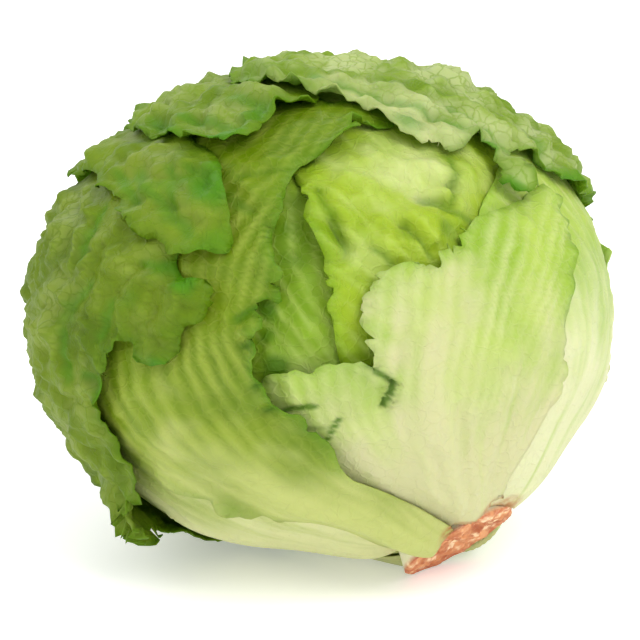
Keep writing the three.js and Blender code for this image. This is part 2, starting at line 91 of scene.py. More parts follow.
@dataclass(frozen=True)
class Egg:
    """The head's size, its stem's direction and the level of its outside, in millimetres."""

    radii: tuple[float, float, float] = (86.0, 82.0, 73.0)
    middle: tuple[float, float, float] = (0.0, 0.0, 72.0)
    stem_turn: tuple[float, float, float] = (0.457, -0.443, -0.771)
    arc: float = 80.0
    top_level: float = -1.0
    neck_rise: float = 4.5
    neck_end: float = 36.0
    swell: float = 1.2
    swell_pitch: float = 95.0
    swell_shift: float = 0.6
    swell_start: float = 20.0
    swell_full: float = 60.0
    noise_scale: float = 1.6
    noise_gain: float = 1.6
    noise_steps: tuple[float, float, float] = (7.3, 3.1, -5.7)
    leaf_start: float = 12.4
    stem_length: float = 83.0
    stem_angle: float = 11.6
    leaf_trim: float = 1.8
    dents: tuple[Dent, ...] = (
        Dent(-80, 146, 26, -5),
        Dent(52, 106, 26, 2),
        Dent(45, 55, 24, 2),
        Dent(-145, 27, 15, -5),
        Dent(75, 24, 15, -3),
    )

    @property
    def stem(self) -> np.ndarray:
        """The unit direction that the polar angle opens from."""
        return unit(np.array(self.stem_turn))

    @property
    def up(self) -> np.ndarray:
        """The unit direction of azimuth 0 round the stem."""
        up = np.array([0.0, 0.0, 1.0])
        return unit(up - up.dot(self.stem) * self.stem)

    @property
    def right(self) -> np.ndarray:
        """The unit direction of azimuth 90 round the stem."""
        return np.cross(self.up, self.stem)

    @property
    def stem_axis(self) -> np.ndarray:
        """The stem's own axis in space."""
        return unit(self.stem * np.array(self.radii))

    def direction(self, azimuth: np.ndarray, polar: np.ndarray) -> np.ndarray:
        """Unit vectors for angles in degrees.

        Args:
            azimuth: degrees round the stem.
            polar: degrees from the stem.

        Returns:
            The directions, one a row.
        """
        a, p = np.radians(azimuth), np.radians(polar)
        side = np.multiply.outer(np.cos(a) * np.sin(p), self.up)
        side = side + np.multiply.outer(np.sin(a) * np.sin(p), self.right)
        return side + np.multiply.outer(np.cos(p), self.stem)

    def polar(self, n: np.ndarray) -> np.ndarray:
        """Degrees from the stem."""
        return np.degrees(np.arccos(np.clip(n @ self.stem, -1.0, 1.0)))

    def azimuth(self, n: np.ndarray) -> np.ndarray:
        """Degrees round the stem."""
        return np.degrees(np.arctan2(n @ self.right, n @ self.up))

    def away(self, n: np.ndarray, azimuth: float, polar: float) -> np.ndarray:
        """Degrees between each direction and one place.

        Args:
            n: unit directions, one a row.
            azimuth: the place's azimuth.
            polar: the place's polar angle.

        Returns:
            The angles in degrees.
        """
        place = self.direction(np.array(azimuth), np.array(polar))
        return np.degrees(np.arccos(np.clip(n @ place, -1.0, 1.0)))

    def place(self, n: np.ndarray, level: np.ndarray, press: np.ndarray) -> np.ndarray:
        """Points in space, in millimetres.

        Args:
            n: unit directions, one a row.
            level: millimetres out from the even egg.
            press: millimetres that the ground pushes each point up.

        Returns:
            The points, one a row.
        """
        points = n * np.array(self.radii) * (1.0 + level / self.arc)[:, None] + np.array(self.middle)
        points[:, 2] += press
        return points

    def behind_cut(self, n: np.ndarray, level: np.ndarray, press: np.ndarray) -> np.ndarray:
        """Millimetres behind the stem's cut, which trims all the leaves.

        Args:
            n: unit directions, one a row.
            level: millimetres out from the even egg.
            press: millimetres that the ground pushes each point up.

        Returns:
            The distances, below zero past the cut.
        """
        height = (self.place(n, level, press) - np.array(self.middle)) @ self.stem_axis
        return self.stem_length - self.leaf_trim - height

    def wave(self, n: np.ndarray, pitch: float, shift: float) -> np.ndarray:
        """Slow swells between 0 and 1, as sums of waves through space.

        Args:
            n: unit directions, one a row.
            pitch: millimetres from swell to swell.
            shift: moves the pattern.

        Returns:
            The heights.
        """
        k = 2.0 * math.pi * self.arc / pitch
        x, y, z = n[:, 0], n[:, 1], n[:, 2]
        a = np.sin(k * (0.62 * x + 0.55 * y - 0.56 * z) + shift)
        b = np.sin(k * (0.71 * y + 0.43 * z - 0.56 * x) + 1.7 * shift)
        c = np.sin(k * (0.74 * z + 0.52 * x + 0.42 * y) + 2.3 * shift)
        return 0.5 + (a + b + c) / 6.0

    def ripple(self, n: np.ndarray, pitch: float, seed: float) -> np.ndarray:
        """Irregular waves between about -1 and 1, with bumps of roughly the given pitch.

        Args:
            n: unit directions, one a row.
            pitch: millimetres from bump to bump.
            seed: picks the pattern.

        Returns:
            The heights.
        """
        offset = Vector([seed * step for step in self.noise_steps])
        points = (n * (self.arc / pitch * self.noise_scale)).tolist()
        return np.array([noise.noise(Vector(p) + offset) for p in points]) * self.noise_gain

    def outside(self, n: np.ndarray) -> np.ndarray:
        """The level of the outside before the leaves' own steps.

        Args:
            n: unit directions, one a row.

        Returns:
            The levels in millimetres.
        """
        polar = self.polar(n)
        level = self.top_level + self.neck_rise * fade(polar, self.leaf_start, self.neck_end)
        swells = 2.0 * self.wave(n, self.swell_pitch, self.swell_shift) - 1.0
        level += self.swell * swells * smoothstep(polar, self.swell_start, self.swell_full)
        for dent in self.dents:
            away = self.away(n, dent.azimuth, dent.polar)
            level += dent.rise * np.exp(-((away / dent.spread) ** 2))
        return level


EGG = Egg()


@dataclass(frozen=True)
class Rib:
    """A midrib: its azimuth at the stem, its turn at the tip, height and half width, and end."""

    azimuth: float
    turn: float
    height: float
    width: float
    end: float


@dataclass(frozen=True)
class Spot:
    """A place on a leaf, in degrees: a fold or notch in millimetres, or the strength of a patch of colour."""

    azimuth: float
    polar: float
    spread: float
    amount: float


@dataclass(frozen=True)
class Crease:
    """A fold pressed into the blade from one (azimuth, polar) place to another, in millimetres, with painted
    shade along its groove.
    """

    start: tuple[float, float]
    end: tuple[float, float]
    width: float = 1.8
    depth: float = 1.6
    # The strength of the painted shade along the groove.
    groove_shade: float = 0.5
    wander: ClassVar[float] = 0.8
    wander_pitch: ClassVar[float] = 12.0
    run_out: ClassVar[float] = 1.5
    lip_share: ClassVar[float] = 0.7
    lip_place: ClassVar[float] = 2.0
    same_side: ClassVar[float] = 0.5

    def press(self, n: np.ndarray) -> tuple[np.ndarray, np.ndarray]:
        """Presses the fold in, with a low lip along one side.

        Args:
            n: unit directions, one a row.

        Returns:
            How far the fold raises the skin, and how strong the painted shade in its groove is.
        """
        first, last = (EGG.direction(np.array(a), np.array(p)) for a, p in (self.start, self.end))
        along = last - first
        length = float(np.linalg.norm(along)) * EGG.arc
        along = unit(along)
        offset = (n - first) * EGG.arc
        run = offset @ along
        across = offset @ np.cross(unit(first + last), along)
        across = across + self.wander * EGG.ripple(n, self.wander_pitch, length)
        beyond = np.maximum(0.0, np.maximum(-run, run - length)) / (self.run_out * self.width)
        groove = np.exp(-((across / self.width) ** 2))
        lip = self.lip_share * np.exp(-((across / self.width - self.lip_place) ** 2))
        near = np.exp(-(beyond**2)) * (n @ first > self.same_side)
        # The second value is the painted shade along the groove.
        return self.depth * (lip - groove) * near, self.groove_shade * groove * near


@dataclass(frozen=True)
class LeafFinish:
    """The colours of one leaf, with its painted shade, and how much it blisters and carries a waxy bloom that
    is partly painted sheen.
    """

    blade: str
    shade: str
    rib: str
    vein: str
    margin: str
    # The dark green of painted shade, in pockets under lifted margins and notches and in the grooves of
    # folds.
    deep: str = "4c7a02"
    # A pale grey-green, partly the leaf's waxy bloom and partly painted sheen; the share below sets how much
    # of it shows.
    bloom_and_sheen: str = "b9c7a0"
    bloom_and_sheen_share: float = 0.0
    pale_end: float = 60.0
    rib_pale: float = 1.0
    roughness: float = 0.42


@dataclass(frozen=True)
class LeafPlan:
    """One leaf: its place in the layers, its outline as (azimuth, polar) points and its surface."""

    name: str
    slot: str
    middle: tuple[float, float]
    outline: tuple[tuple[float, float], ...]
    rib: Rib
    curl: float
    finish: LeafFinish
    flaps: tuple[Spot, ...] = ()
    ruffle: float = 1.6
    blister: float = 0.4
    veins: int = 12
    vein_rise: float = 0.35
    vein_width: float = 0.9
    sweep: float = 0.0
    hangs: bool = False
    notches: tuple[Spot, ...] = ()
    creases: tuple[Crease, ...] = ()
    pale_spots: tuple[Spot, ...] = ()
    # Places of painted shade: dark pockets under lifted flaps and notches.
    painted_shade_spots: tuple[Spot, ...] = ()


PALE = LeafFinish("b8d05c", "a2c244", "e4e6b8", "d4de90", "96c030", pale_end=84.0)
STRIP = LeafFinish("8fb12a", "749a14", "d8de9c", "b4ca60", "6f9a12", pale_end=76.0)
BRIGHT = LeafFinish("a8c22c", "8cac18", "dce49c", "c0d662", "76a010", pale_end=56.0)
FRONT = LeafFinish("b6cf54", "9abd30", "d6d5a2", "dae29c", "82ac1c", pale_end=76.0)
SWEPT = LeafFinish("769206", "607f02", "c9d07e", "b0c04e", "4f8608", pale_end=60.0)
UNDER = LeafFinish("b4c466", "98ac40", "e0e2a8", "d0d688", "7ca02c", pale_end=74.0)
# The outer and top leaves carry the pale grey-green of waxy bloom and painted sheen.
OUTER = LeafFinish(
    "6e8804", "577400", "d4d894", "84a020", "567f06", "4c8c0c", "98aa48",
    bloom_and_sheen_share=0.5, pale_end=44.0, rib_pale=0.2, roughness=0.46,
)
SHOULDER = LeafFinish(
    "7a9410", "62800a", "d6da98", "8ea628", "5c860a", "4c8c0c", "98a64a",
    bloom_and_sheen_share=0.32, pale_end=44.0, rib_pale=0.2, roughness=0.46,
)
CREST = LeafFinish(
    "809c18", "68880c", "d6da98", "92b034", "5c880c", "4c8c0c", "a8b66a",
    bloom_and_sheen_share=0.42, pale_end=44.0, rib_pale=0.2, roughness=0.44,
)
CAP = LeafFinish(
    "88a61c", "6e900c", "d8dc9c", "98b838", "5f8c0e", "4c8c0c", "c6d290",
    bloom_and_sheen_share=0.68, pale_end=44.0, rib_pale=0.2, roughness=0.44,
)

# The deep spots in these plans are painted shade, in pockets under lifted flaps and bitten margins.
LEAVES: tuple[LeafPlan, ...] = (
    LeafPlan(
        "leaf_inner_left", "pale_leaf", (-48, 65),
        ((-52, 5), (-96, 11), (-90, 35), (-90, 65), (-80, 92), (-62, 110), (-40, 117), (-18, 108),
         (-8, 80), (-10, 45), (-10, 20), (-8, 11)),
        Rib(-55, 0, 3, 7, 80), 1.5, STRIP, veins=22, blister=2.0, vein_rise=0.3,
        painted_shade_spots=(
            Spot(-53, 83, 2.6, 0.8), Spot(-56, 78, 2.2, 0.7), Spot(-58, 71, 3.6, 0.9),
            Spot(-42, 97, 4, 0.4), Spot(-39, 103, 4, 0.4), Spot(-44, 90, 3, 0.4),
        ),
    ),
    LeafPlan(
        "leaf_inner_front", "bright_leaf", (0, 78),
        ((0, 5), (-42, 11), (-37, 30), (-42, 49), (-46, 64), (-44, 72), (-42, 80), (-39, 90), (-37, 99),
         (-33, 107), (-24, 116), (10, 121), (35, 117), (46, 98), (45, 75), (42, 50), (40, 30), (42, 11)),
        Rib(0, 0, 2, 6, 80), 2.5, BRIGHT,
        flaps=(Spot(-37, 97, 5, 3), Spot(-41, 84, 4, 2)), veins=20, blister=3.2,
        creases=(
            Crease((-29, 85), (-27, 79)), Crease((-21, 88), (-19, 80), 1.4, 1.8),
            Crease((-27, 79), (-22, 78)),
            Crease((-33, 101), (-34, 88), 2.4, 1.6), Crease((-14, 92), (-6, 84), 2.2, 1.5),
            Crease((-2, 100), (-9, 90), 2.4, 1.4),
        ),
        painted_shade_spots=(Spot(-22, 86, 3, 0.4), Spot(-13, 85, 4, 0.5), Spot(-27, 82, 3, 0.35)),
        pale_spots=(Spot(-13, 100, 9, 0.75), Spot(-30, 84, 6, 0.2)),
    ),
    LeafPlan(
        "leaf_inner_right", "pale_leaf", (50, 62),
        ((30, 5), (-18, 11), (-18, 35), (-14, 60), (-4, 85), (25, 104), (50, 112), (76, 106), (94, 88),
         (98, 62), (94, 38), (94, 11)),
        Rib(52, 0, 3.5, 8, 95), 1.5, PALE, veins=18, blister=0.6,
    ),
    LeafPlan(
        "leaf_underside", "pale_leaf", (-124, 62),
        ((-125, 5), (-80, 11), (-84, 35), (-86, 60), (-92, 85), (-108, 100), (-128, 102), (-150, 94),
         (-163, 70), (-164, 40), (-170, 11)),
        Rib(-122, 0, 3.5, 8, 90), 1.5, UNDER, veins=18, vein_rise=0.25,
    ),
    LeafPlan(
        "leaf_front_rib", "pale_leaf", (-10, 52),
        ((-8, 5), (-58, 11), (-70, 22), (-78, 34), (-79, 50), (-72, 64), (-61, 70), (-50, 69), (-43, 66),
         (-40.5, 58.5), (-39.5, 58.5), (-41, 66), (-40, 71), (-37, 77), (-31, 80), (-20, 79), (-6, 83),
         (9, 87), (20, 88), (20, 84), (17, 73), (12, 62), (9, 53), (8, 40), (2, 28), (-4, 21), (2, 11)),
        Rib(-41, 26, 5, 6, 84), 2, FRONT, veins=20, vein_rise=0.45, vein_width=1.5, blister=1.2,
        creases=(
            Crease((-43, 65), (-39, 58), 0.8, 1.4, 0.7), Crease((-39, 58), (-43, 54), 0.9, 1.8, 1.0),
            Crease((-63, 62), (-57, 60), 1.2, 1.6, 0.8), Crease((-60, 52), (-54, 55), 0.9, 1.4, 0.8),
            Crease((-62, 57), (-57, 54), 1.4, 1.0, 0.4), Crease((-46, 15), (-38, 40), 1.4, 1.0, 0.1),
            Crease((-33, 20), (-27, 46), 1.6, 0.9, 0.06), Crease((-16, 24), (-6, 54), 2.0, 0.8, 0.06),
        ),
        pale_spots=(
            Spot(-31, 70, 7, 0.6), Spot(-18, 68, 8, 0.6), Spot(-29, 62, 9, 0.8), Spot(-38, 64, 6, 0.75),
            Spot(-50, 56, 10, 0.4), Spot(-36, 75, 4, 0.6),
        ),
    ),
    LeafPlan(
        "leaf_front_left", "bright_leaf", (-74, 92),
        ((-92, 5), (-46, 11), (-51, 22), (-58, 33), (-62, 44), (-59, 52), (-60, 70), (-54, 78), (-48, 88),
         (-42, 98), (-37, 106), (-24, 110), (-7, 113), (-8, 122), (-28, 132), (-55, 137), (-85, 130),
         (-106, 112), (-118, 92), (-110, 72), (-103, 60), (-97, 52), (-90, 42), (-86, 30), (-104, 11)),
        Rib(-76, -14, 5, 8, 80), 3, SWEPT,
        flaps=(Spot(-56, 81, 3, 3), Spot(-59, 74, 3, 3.5), Spot(-62, 66, 3, 4), Spot(-62, 60, 3, 3),
               Spot(-49, 90, 4, 3), Spot(-40, 102, 4, 3)),
        ruffle=2.2, veins=24, vein_rise=0.4, vein_width=1.6, sweep=27.0, blister=1.3,
        notches=(Spot(-53, 83, 2.2, 8), Spot(-56, 78.5, 1.8, 6), Spot(-58, 71, 3.2, 9),
                 Spot(-60, 64, 2.4, 7), Spot(-60, 57, 2.0, 4), Spot(-43, 95, 2.0, 4)),
        pale_spots=(Spot(-98, 57, 13, 0.75), Spot(-88, 44, 12, 0.6), Spot(-112, 68, 9, 0.4)),
        creases=(
            Crease((-53, 84), (-58, 84), 1.6, 1.6, 0.8), Crease((-56, 78), (-60, 78), 1.4, 1.4, 0.8),
            Crease((-58, 72), (-63, 70), 1.8, 1.6, 0.8), Crease((-60, 65), (-65, 64), 1.4, 1.4, 0.7),
            Crease((-50, 112), (-46, 104), 2.4, 1.6, 0.5), Crease((-44, 112), (-36, 108), 2.2, 1.4, 0.4),
        ),
    ),
    LeafPlan(
        "leaf_back_right", "pale_leaf", (100, 62),
        ((100, 5), (58, 11), (60, 35), (55, 60), (62, 84), (80, 100), (105, 106), (130, 98), (146, 75),
         (145, 42), (144, 11)),
        Rib(100, 0, 4, 8, 95), 2, PALE, veins=18, blister=0.8,
    ),
    LeafPlan(
        "leaf_outer_left", "outer_leaf", (-122, 98),
        ((-160, 5), (-132, 11), (-148, 30), (-152, 44), (-143, 52), (-130, 57), (-117, 59), (-108, 66),
         (-99, 77), (-90, 86), (-86, 90), (-80, 90), (-79, 86), (-74, 84), (-70, 87), (-64, 88),
         (-60, 93), (-62, 99), (-58, 106), (-54, 114), (-56, 126), (-82, 147), (-115, 151),
         (-150, 142), (-172, 118), (-178, 90), (180, 60), (175, 35), (164, 11)),
        Rib(-158, 8, 4, 8, 100), 0.9, OUTER,
        flaps=(Spot(-92, 82, 5, 4), Spot(-83, 89, 3, 4), Spot(-77, 82, 3, 3), Spot(-61, 93, 3, 4)),
        ruffle=1.8, blister=2.8, hangs=True,
        notches=(Spot(-61, 98, 2.6, 8), Spot(-83, 89, 2.4, 5)),
        creases=(
            Crease((-63, 99), (-69, 103), 2.2, 1.8), Crease((-83, 113), (-77, 122), 2.6, 1.7),
            Crease((-86, 95), (-80, 99), 2.4, 1.5), Crease((-92, 104), (-84, 106), 2.4, 1.4),
            Crease((-100, 92), (-96, 100), 2.6, 1.5), Crease((-88, 83), (-95, 90), 2.4, 1.6),
        ),
        painted_shade_spots=(Spot(-62, 96, 4, 0.9), Spot(-89, 81, 5, 0.9), Spot(-83, 88, 4, 0.8),
                    Spot(-77, 83, 3, 0.7), Spot(-92, 104, 4, 0.4), Spot(-75, 98, 4, 0.35)),
    ),
    LeafPlan(
        "leaf_shoulder", "outer_leaf", (-120, 132),
        ((-174, 5), (-130, 11), (-146, 35), (-160, 60), (-160, 85), (-162, 112), (-154, 138),
         (-135, 151), (-116, 149), (-98, 144), (-82, 137), (-72, 123), (-67, 111), (-63, 102),
         (-58, 98), (-54, 96), (-51, 100), (-48, 108), (-46, 120), (-50, 135), (-50, 155),
         (-160, 160), (170, 140), (162, 110), (162, 75), (162, 40), (144, 11)),
        Rib(-172, 14, 4, 8, 110), 0.6, SHOULDER,
        flaps=(Spot(-58, 99, 3, 3), Spot(-49, 108, 4, 2)),
        ruffle=1.6, blister=2.6,
        notches=(Spot(-57, 98, 1.6, 3),),
        creases=(
            Crease((-52, 118), (-50, 109), 2.2, 1.8), Crease((-56, 120), (-60, 110), 2.8, 1.5),
            Crease((-64, 124), (-58, 104), 3.0, 1.4), Crease((-70, 128), (-66, 118), 2.6, 1.5),
        ),
        painted_shade_spots=(Spot(-50, 112, 6, 0.8), Spot(-55, 99, 5, 0.5)),
    ),
    LeafPlan(
        "leaf_top_left", "top_leaf", (-178, 142),
        ((178, 5), (-138, 11), (-158, 35), (-168, 65), (-172, 95), (-172, 124), (-172, 146),
         (-150, 164), (-120, 169), (-92, 164), (-76, 154), (-62, 141), (-49, 125), (-39, 119),
         (-33, 122), (-27, 125), (-22, 123), (-14, 129), (-8, 138), (30, 152), (90, 152),
         (128, 135), (142, 108), (148, 75), (146, 40), (134, 11)),
        Rib(176, 6, 5, 9, 120), 1.0, CREST,
        flaps=(Spot(-42, 121, 5, 3), Spot(-30, 125, 4, 3)),
        ruffle=1.9, blister=3.4,
        creases=(
            Crease((-48, 136), (-40, 124), 2.6, 1.7), Crease((-60, 146), (-52, 132), 2.6, 1.6),
            Crease((-34, 136), (-31, 127), 2.4, 1.6),
        ),
        painted_shade_spots=(Spot(-44, 121, 5, 0.7), Spot(-32, 126, 4, 0.6)),
    ),
    LeafPlan(
        "leaf_top_right", "top_leaf", (84, 118),
        ((122, 5), (78, 11), (98, 32), (104, 48), (96, 66), (78, 82), (54, 89), (37, 87), (28, 88),
         (22, 92), (17, 97), (14, 96), (7, 86), (5, 90), (6, 98), (6, 104), (2, 101), (-7, 104),
         (-9, 112), (-11, 119), (-18, 130), (-24, 141), (-22, 152), (60, 166), (130, 156),
         (152, 138), (160, 115), (162, 90), (161, 62), (158, 35), (166, 11)),
        Rib(124, -20, 4, 8, 110), 1.2, CAP,
        flaps=(Spot(2, 102, 4, 2), Spot(8, 92, 4, 2), Spot(33, 86, 4, 2)),
        ruffle=2.2, blister=3.4,
        creases=(
            Crease((-6, 118), (4, 106), 2.4, 1.6), Crease((10, 112), (12, 99), 2.4, 1.6),
            Crease((24, 100), (22, 90), 2.4, 1.5), Crease((-12, 132), (-6, 120), 2.6, 1.6),
        ),
        painted_shade_spots=(Spot(-7, 110, 4, 0.6), Spot(6, 99, 3, 0.7), Spot(4, 88, 4, 0.9), Spot(28, 89, 4, 0.7)),
        pale_spots=(Spot(-19, 120, 9, 0.75), Spot(-6, 111, 9, 0.8), Spot(12, 100, 7, 0.25)),
    ),
)


class Outline:
    """A leaf's outline as a closed curve on the sphere of directions."""

    steps = 150
    steps_per_point = 24

    def __init__(self, plan: LeafPlan) -> None:
        """Draws the curve through the plan's points."""
        self.middle = EGG.direction(np.array(plan.middle[0]), np.array(plan.middle[1]))
        self.across = unit(np.cross(np.array([0.0, 0.0, 1.0]), self.middle))
        self.along = np.cross(self.middle, self.across)
        angles = np.array(plan.outline, dtype=float)
        self.rim = self.curve(EGG.direction(angles[:, 0], angles[:, 1]))
        self.chart = self.flatten(self.rim)

    def curve(self, points: np.ndarray) -> np.ndarray:
        """An evenly stepped, closed, centripetal curve through the points.

        Args:
            points: the corners as unit directions, one a row.

        Returns:
            The curve's points.
        """
        fine = []
        count = len(points)
        t = np.linspace(0.0, 1.0, self.steps_per_point, endpoint=False)[:, None]
        for i in range(count):
            p0, p1, p2, p3 = (points[(i + j - 1) % count] for j in range(4))
            d0, d1, d2 = (math.sqrt(np.linalg.norm(b - a)) for a, b in ((p0, p1), (p1, p2), (p2, p3)))
            start = ((p1 - p0) / d0 - (p2 - p0) / (d0 + d1) + (p2 - p1) / d1) * d1
            end = ((p2 - p1) / d1 - (p3 - p1) / (d1 + d2) + (p3 - p2) / d2) * d1
            fine.append(p1 + start * t + (3 * (p2 - p1) - 2 * start - end) * t**2
                        + (2 * (p1 - p2) + start + end) * t**3)
        line = np.concatenate(fine)
        closed = np.concatenate([line, line[:1]])
        run = np.concatenate([[0.0], np.cumsum(np.linalg.norm(np.diff(closed, axis=0), axis=1))])
        stops = np.linspace(0.0, run[-1], self.steps, endpoint=False)
        return unit(np.stack([np.interp(stops, run, closed[:, i]) for i in range(3)], axis=1))

    def flatten(self, n: np.ndarray) -> np.ndarray:
        """A flat chart of the directions round the leaf's middle.

        Args:
            n: unit directions, one a row.

        Returns:
            Flat coordinates in radians, one pair a row.
        """
        reach = np.arccos(np.clip(n @ self.middle, -1.0, 1.0))
        bearing = np.arctan2(n @ self.along, n @ self.across)
        return np.stack([reach * np.cos(bearing), reach * np.sin(bearing)], axis=-1)

    def holds(self, n: np.ndarray) -> np.ndarray:
        """True where a direction lies inside the outline.

        Args:
            n: unit directions, one a row.

        Returns:
            One truth value a direction.
        """
        p = self.flatten(n)
        inside = np.zeros(len(n), dtype=bool)
        for a, b in zip(self.chart, np.roll(self.chart, -1, axis=0)):
            spans = (a[1] > p[:, 1]) != (b[1] > p[:, 1])
            run = b[1] - a[1]
            crossing = a[0] + (b[0] - a[0]) * (p[:, 1] - a[1]) / (run if run else 1.0)
            inside ^= spans & (p[:, 0] < crossing)
        return inside

    def depth(self, n: np.ndarray) -> np.ndarray:
        """Millimetres inside the outline, or below zero outside it.

        Args:
            n: unit directions, one a row.

        Returns:
            The depths in millimetres.
        """
        nearest = np.full(len(n), np.inf)
        for a, b in zip(self.rim, np.roll(self.rim, -1, axis=0)):
            side = b - a
            share = np.clip((n @ side - a @ side) / (side @ side), 0.0, 1.0)
            gap2 = 2.0 - 2.0 * (n @ a) - 2.0 * share * (n @ side - a @ side) + share**2 * (side @ side)
            nearest = np.minimum(nearest, gap2)
        distance = np.sqrt(np.maximum(nearest, 0.0)) * EGG.arc
        return np.where(self.holds(n), distance, -distance)


@dataclass(frozen=True)
class Layers:
    """How the leaves lie over each other, in millimetres and degrees."""

    blade: float = 1.0
    petiole: float = 2.0
    petiole_end: float = 50.0
    gap: float = 1.3
    petiole_gap: float = 0.6
    step_share: float = 0.5
    petiole_step_share: float = 0.4
    lap_inside: float = 14.0
    lap_outside: float = 12.0
    cover_margin: float = 0.5
    cover_ramp: float = 8.0
    first_raised: str = "leaf_front_rib"

    def taper(self, n: np.ndarray, at_stem: float, on_blade: float) -> np.ndarray:
        """A value that changes from its size at the stem to its size on the blade."""
        return on_blade + (at_stem - on_blade) * fade(EGG.polar(n), EGG.leaf_start, self.petiole_end)


@dataclass
class Survey:
    """What holds for many directions: levels of all layers, how bare they lie, and the press."""

    outer: np.ndarray
    shown: np.ndarray
    press: np.ndarray
    core: np.ndarray

    @classmethod
    def of(cls, n: np.ndarray, depths: np.ndarray, layers: Layers) -> Survey:
        """Surveys the given directions.

        Args:
            n: unit directions, one a row.
            depths: millimetres inside each leaf's ragged edge, one column a leaf.
            layers: how the leaves lie over each other.

        Returns:
            The survey, with one column a leaf.
        """
        laps = smoothstep(depths, -layers.lap_outside, layers.lap_inside)
        covers = fade(-depths, layers.cover_margin, layers.cover_margin + layers.cover_ramp)
        spacing = layers.taper(n, layers.petiole, layers.blade)
        spacing = spacing + layers.taper(n, layers.petiole_gap, layers.gap)
        names = [plan.name for plan in LEAVES]
        raised = laps[:, names.index(layers.first_raised):].sum(axis=1)
        share = layers.taper(n, layers.petiole_step_share, layers.step_share)
        level = EGG.outside(n) + share * spacing * raised
        press = np.maximum(0.0, -EGG.place(n, level, np.zeros(len(n)))[:, 2])
        outer = np.empty_like(depths)
        shown = np.empty_like(depths)
        shade = np.zeros(len(n))
        for k in reversed(range(len(LEAVES))):
            outer[:, k] = level
            shown[:, k] = 1.0 - shade
            level = level - spacing * laps[:, k]
            shade = np.maximum(shade, covers[:, k])
        return cls(outer, shown, press, level)


class Mesh:
    """Small helpers for meshes that are shaped point by point."""

    @staticmethod
    def read(obj: bpy.types.Object) -> np.ndarray:
        """The object's points, one a row."""
        flat = np.empty(len(obj.data.vertices) * 3)
        obj.data.vertices.foreach_get("co", flat)
        return flat.reshape(-1, 3)

    @staticmethod
    def write(obj: bpy.types.Object, points: np.ndarray) -> None:
        """Moves the object's points."""
        obj.data.vertices.foreach_set("co", points.ravel())
        obj.data.update()

    @staticmethod
    def paint(obj: bpy.types.Object, name: str, values: np.ndarray) -> None:
        """Stores one value a point for the material to read.

        Args:
            obj: the mesh object.
            name: what the material calls it.
            values: one value a point.
        """
        layer = obj.data.attributes.new(name, "FLOAT", "POINT")
        layer.data.foreach_set("value", values.astype(np.float32))

    @staticmethod
    def only(obj: bpy.types.Object) -> None:
        """Selects the object and nothing else.

        Args:
            obj: the mesh object.
        """
        bpy.ops.object.select_all(action="DESELECT")
        obj.select_set(True)
        bpy.context.view_layer.objects.active = obj

    @staticmethod
    def keep(obj: bpy.types.Object, wanted: np.ndarray) -> None:
        """Deletes the points that aren't wanted, with their faces.

        Args:
            obj: the mesh object.
            wanted: one truth value a point.
        """
        Mesh.only(obj)
        bpy.ops.object.mode_set(mode="EDIT")
        bpy.ops.mesh.select_mode(type="VERT")
        bpy.ops.mesh.select_all(action="DESELECT")
        bpy.ops.object.mode_set(mode="OBJECT")
        obj.data.vertices.foreach_set("select", ~wanted)
        bpy.ops.object.mode_set(mode="EDIT")
        bpy.ops.mesh.delete(type="VERT")
        bpy.ops.object.mode_set(mode="OBJECT")

    @staticmethod
    def main_island(obj: bpy.types.Object) -> np.ndarray:
        """True for the points of the largest connected island of faces.

        Args:
            obj: the mesh object.

        Returns:
            One truth value a point.
        """
        shape = bmesh.new()
        shape.from_mesh(obj.data)
        label = np.full(len(shape.verts), -1)
        shape.verts.ensure_lookup_table()
        sizes = []
        for seed in shape.verts:
            if label[seed.index] >= 0 or not seed.link_faces:
                continue
            label[seed.index] = len(sizes)
            stack = [seed]
            size = 0
            while stack:
                vert = stack.pop()
                size += 1
                for edge in vert.link_edges:
                    other = edge.other_vert(vert)
                    if label[other.index] < 0 and edge.link_faces:
                        label[other.index] = len(sizes)
                        stack.append(other)
            sizes.append(size)
        shape.free()
        return label == int(np.argmax(sizes))

    @staticmethod
    def border(obj: bpy.types.Object) -> np.ndarray:
        """The numbers of the points on the open edge.

        Args:
            obj: the mesh object.

        Returns:
            The points' numbers.
        """
        shape = bmesh.new()
        shape.from_mesh(obj.data)
        found = np.array([v.index for v in shape.verts if v.is_boundary])
        shape.free()
        return found


class Net:
    """The shared net of directions, as a fine sphere with its poles on the stem's line."""

    sides = 400
    rings = 180

    def __init__(self) -> None:
        """Adds the sphere and surveys its directions."""
        bpy.ops.object.select_all(action="DESELECT")
        bpy.ops.mesh.primitive_uv_sphere_add(segments=self.sides, ring_count=self.rings, radius=1.0)
        self.object = bpy.context.object
        self.object.name = "net"
        points = Mesh.read(self.object)
        axes = np.stack([EGG.up, -EGG.right, EGG.stem])
        self.n = unit(points @ axes)
        Mesh.write(self.object, self.n)
        numbers = self.object.data.attributes.new("number", "INT", "POINT")
        numbers.data.foreach_set("value", np.arange(len(self.n), dtype=np.int32))

    def copy(self, name: str) -> bpy.types.Object:
        """A new object with the net's mesh.

        Args:
            name: the new object's name.

        Returns:
            The new object.
        """
        twin = self.object.copy()
        twin.data = self.object.data.copy()
        twin.name = name
        twin.data.name = name
        bpy.context.collection.objects.link(twin)
        return twin

    def remove(self) -> None:
        """Removes the net itself."""
        bpy.data.objects.remove(self.object, do_unlink=True)


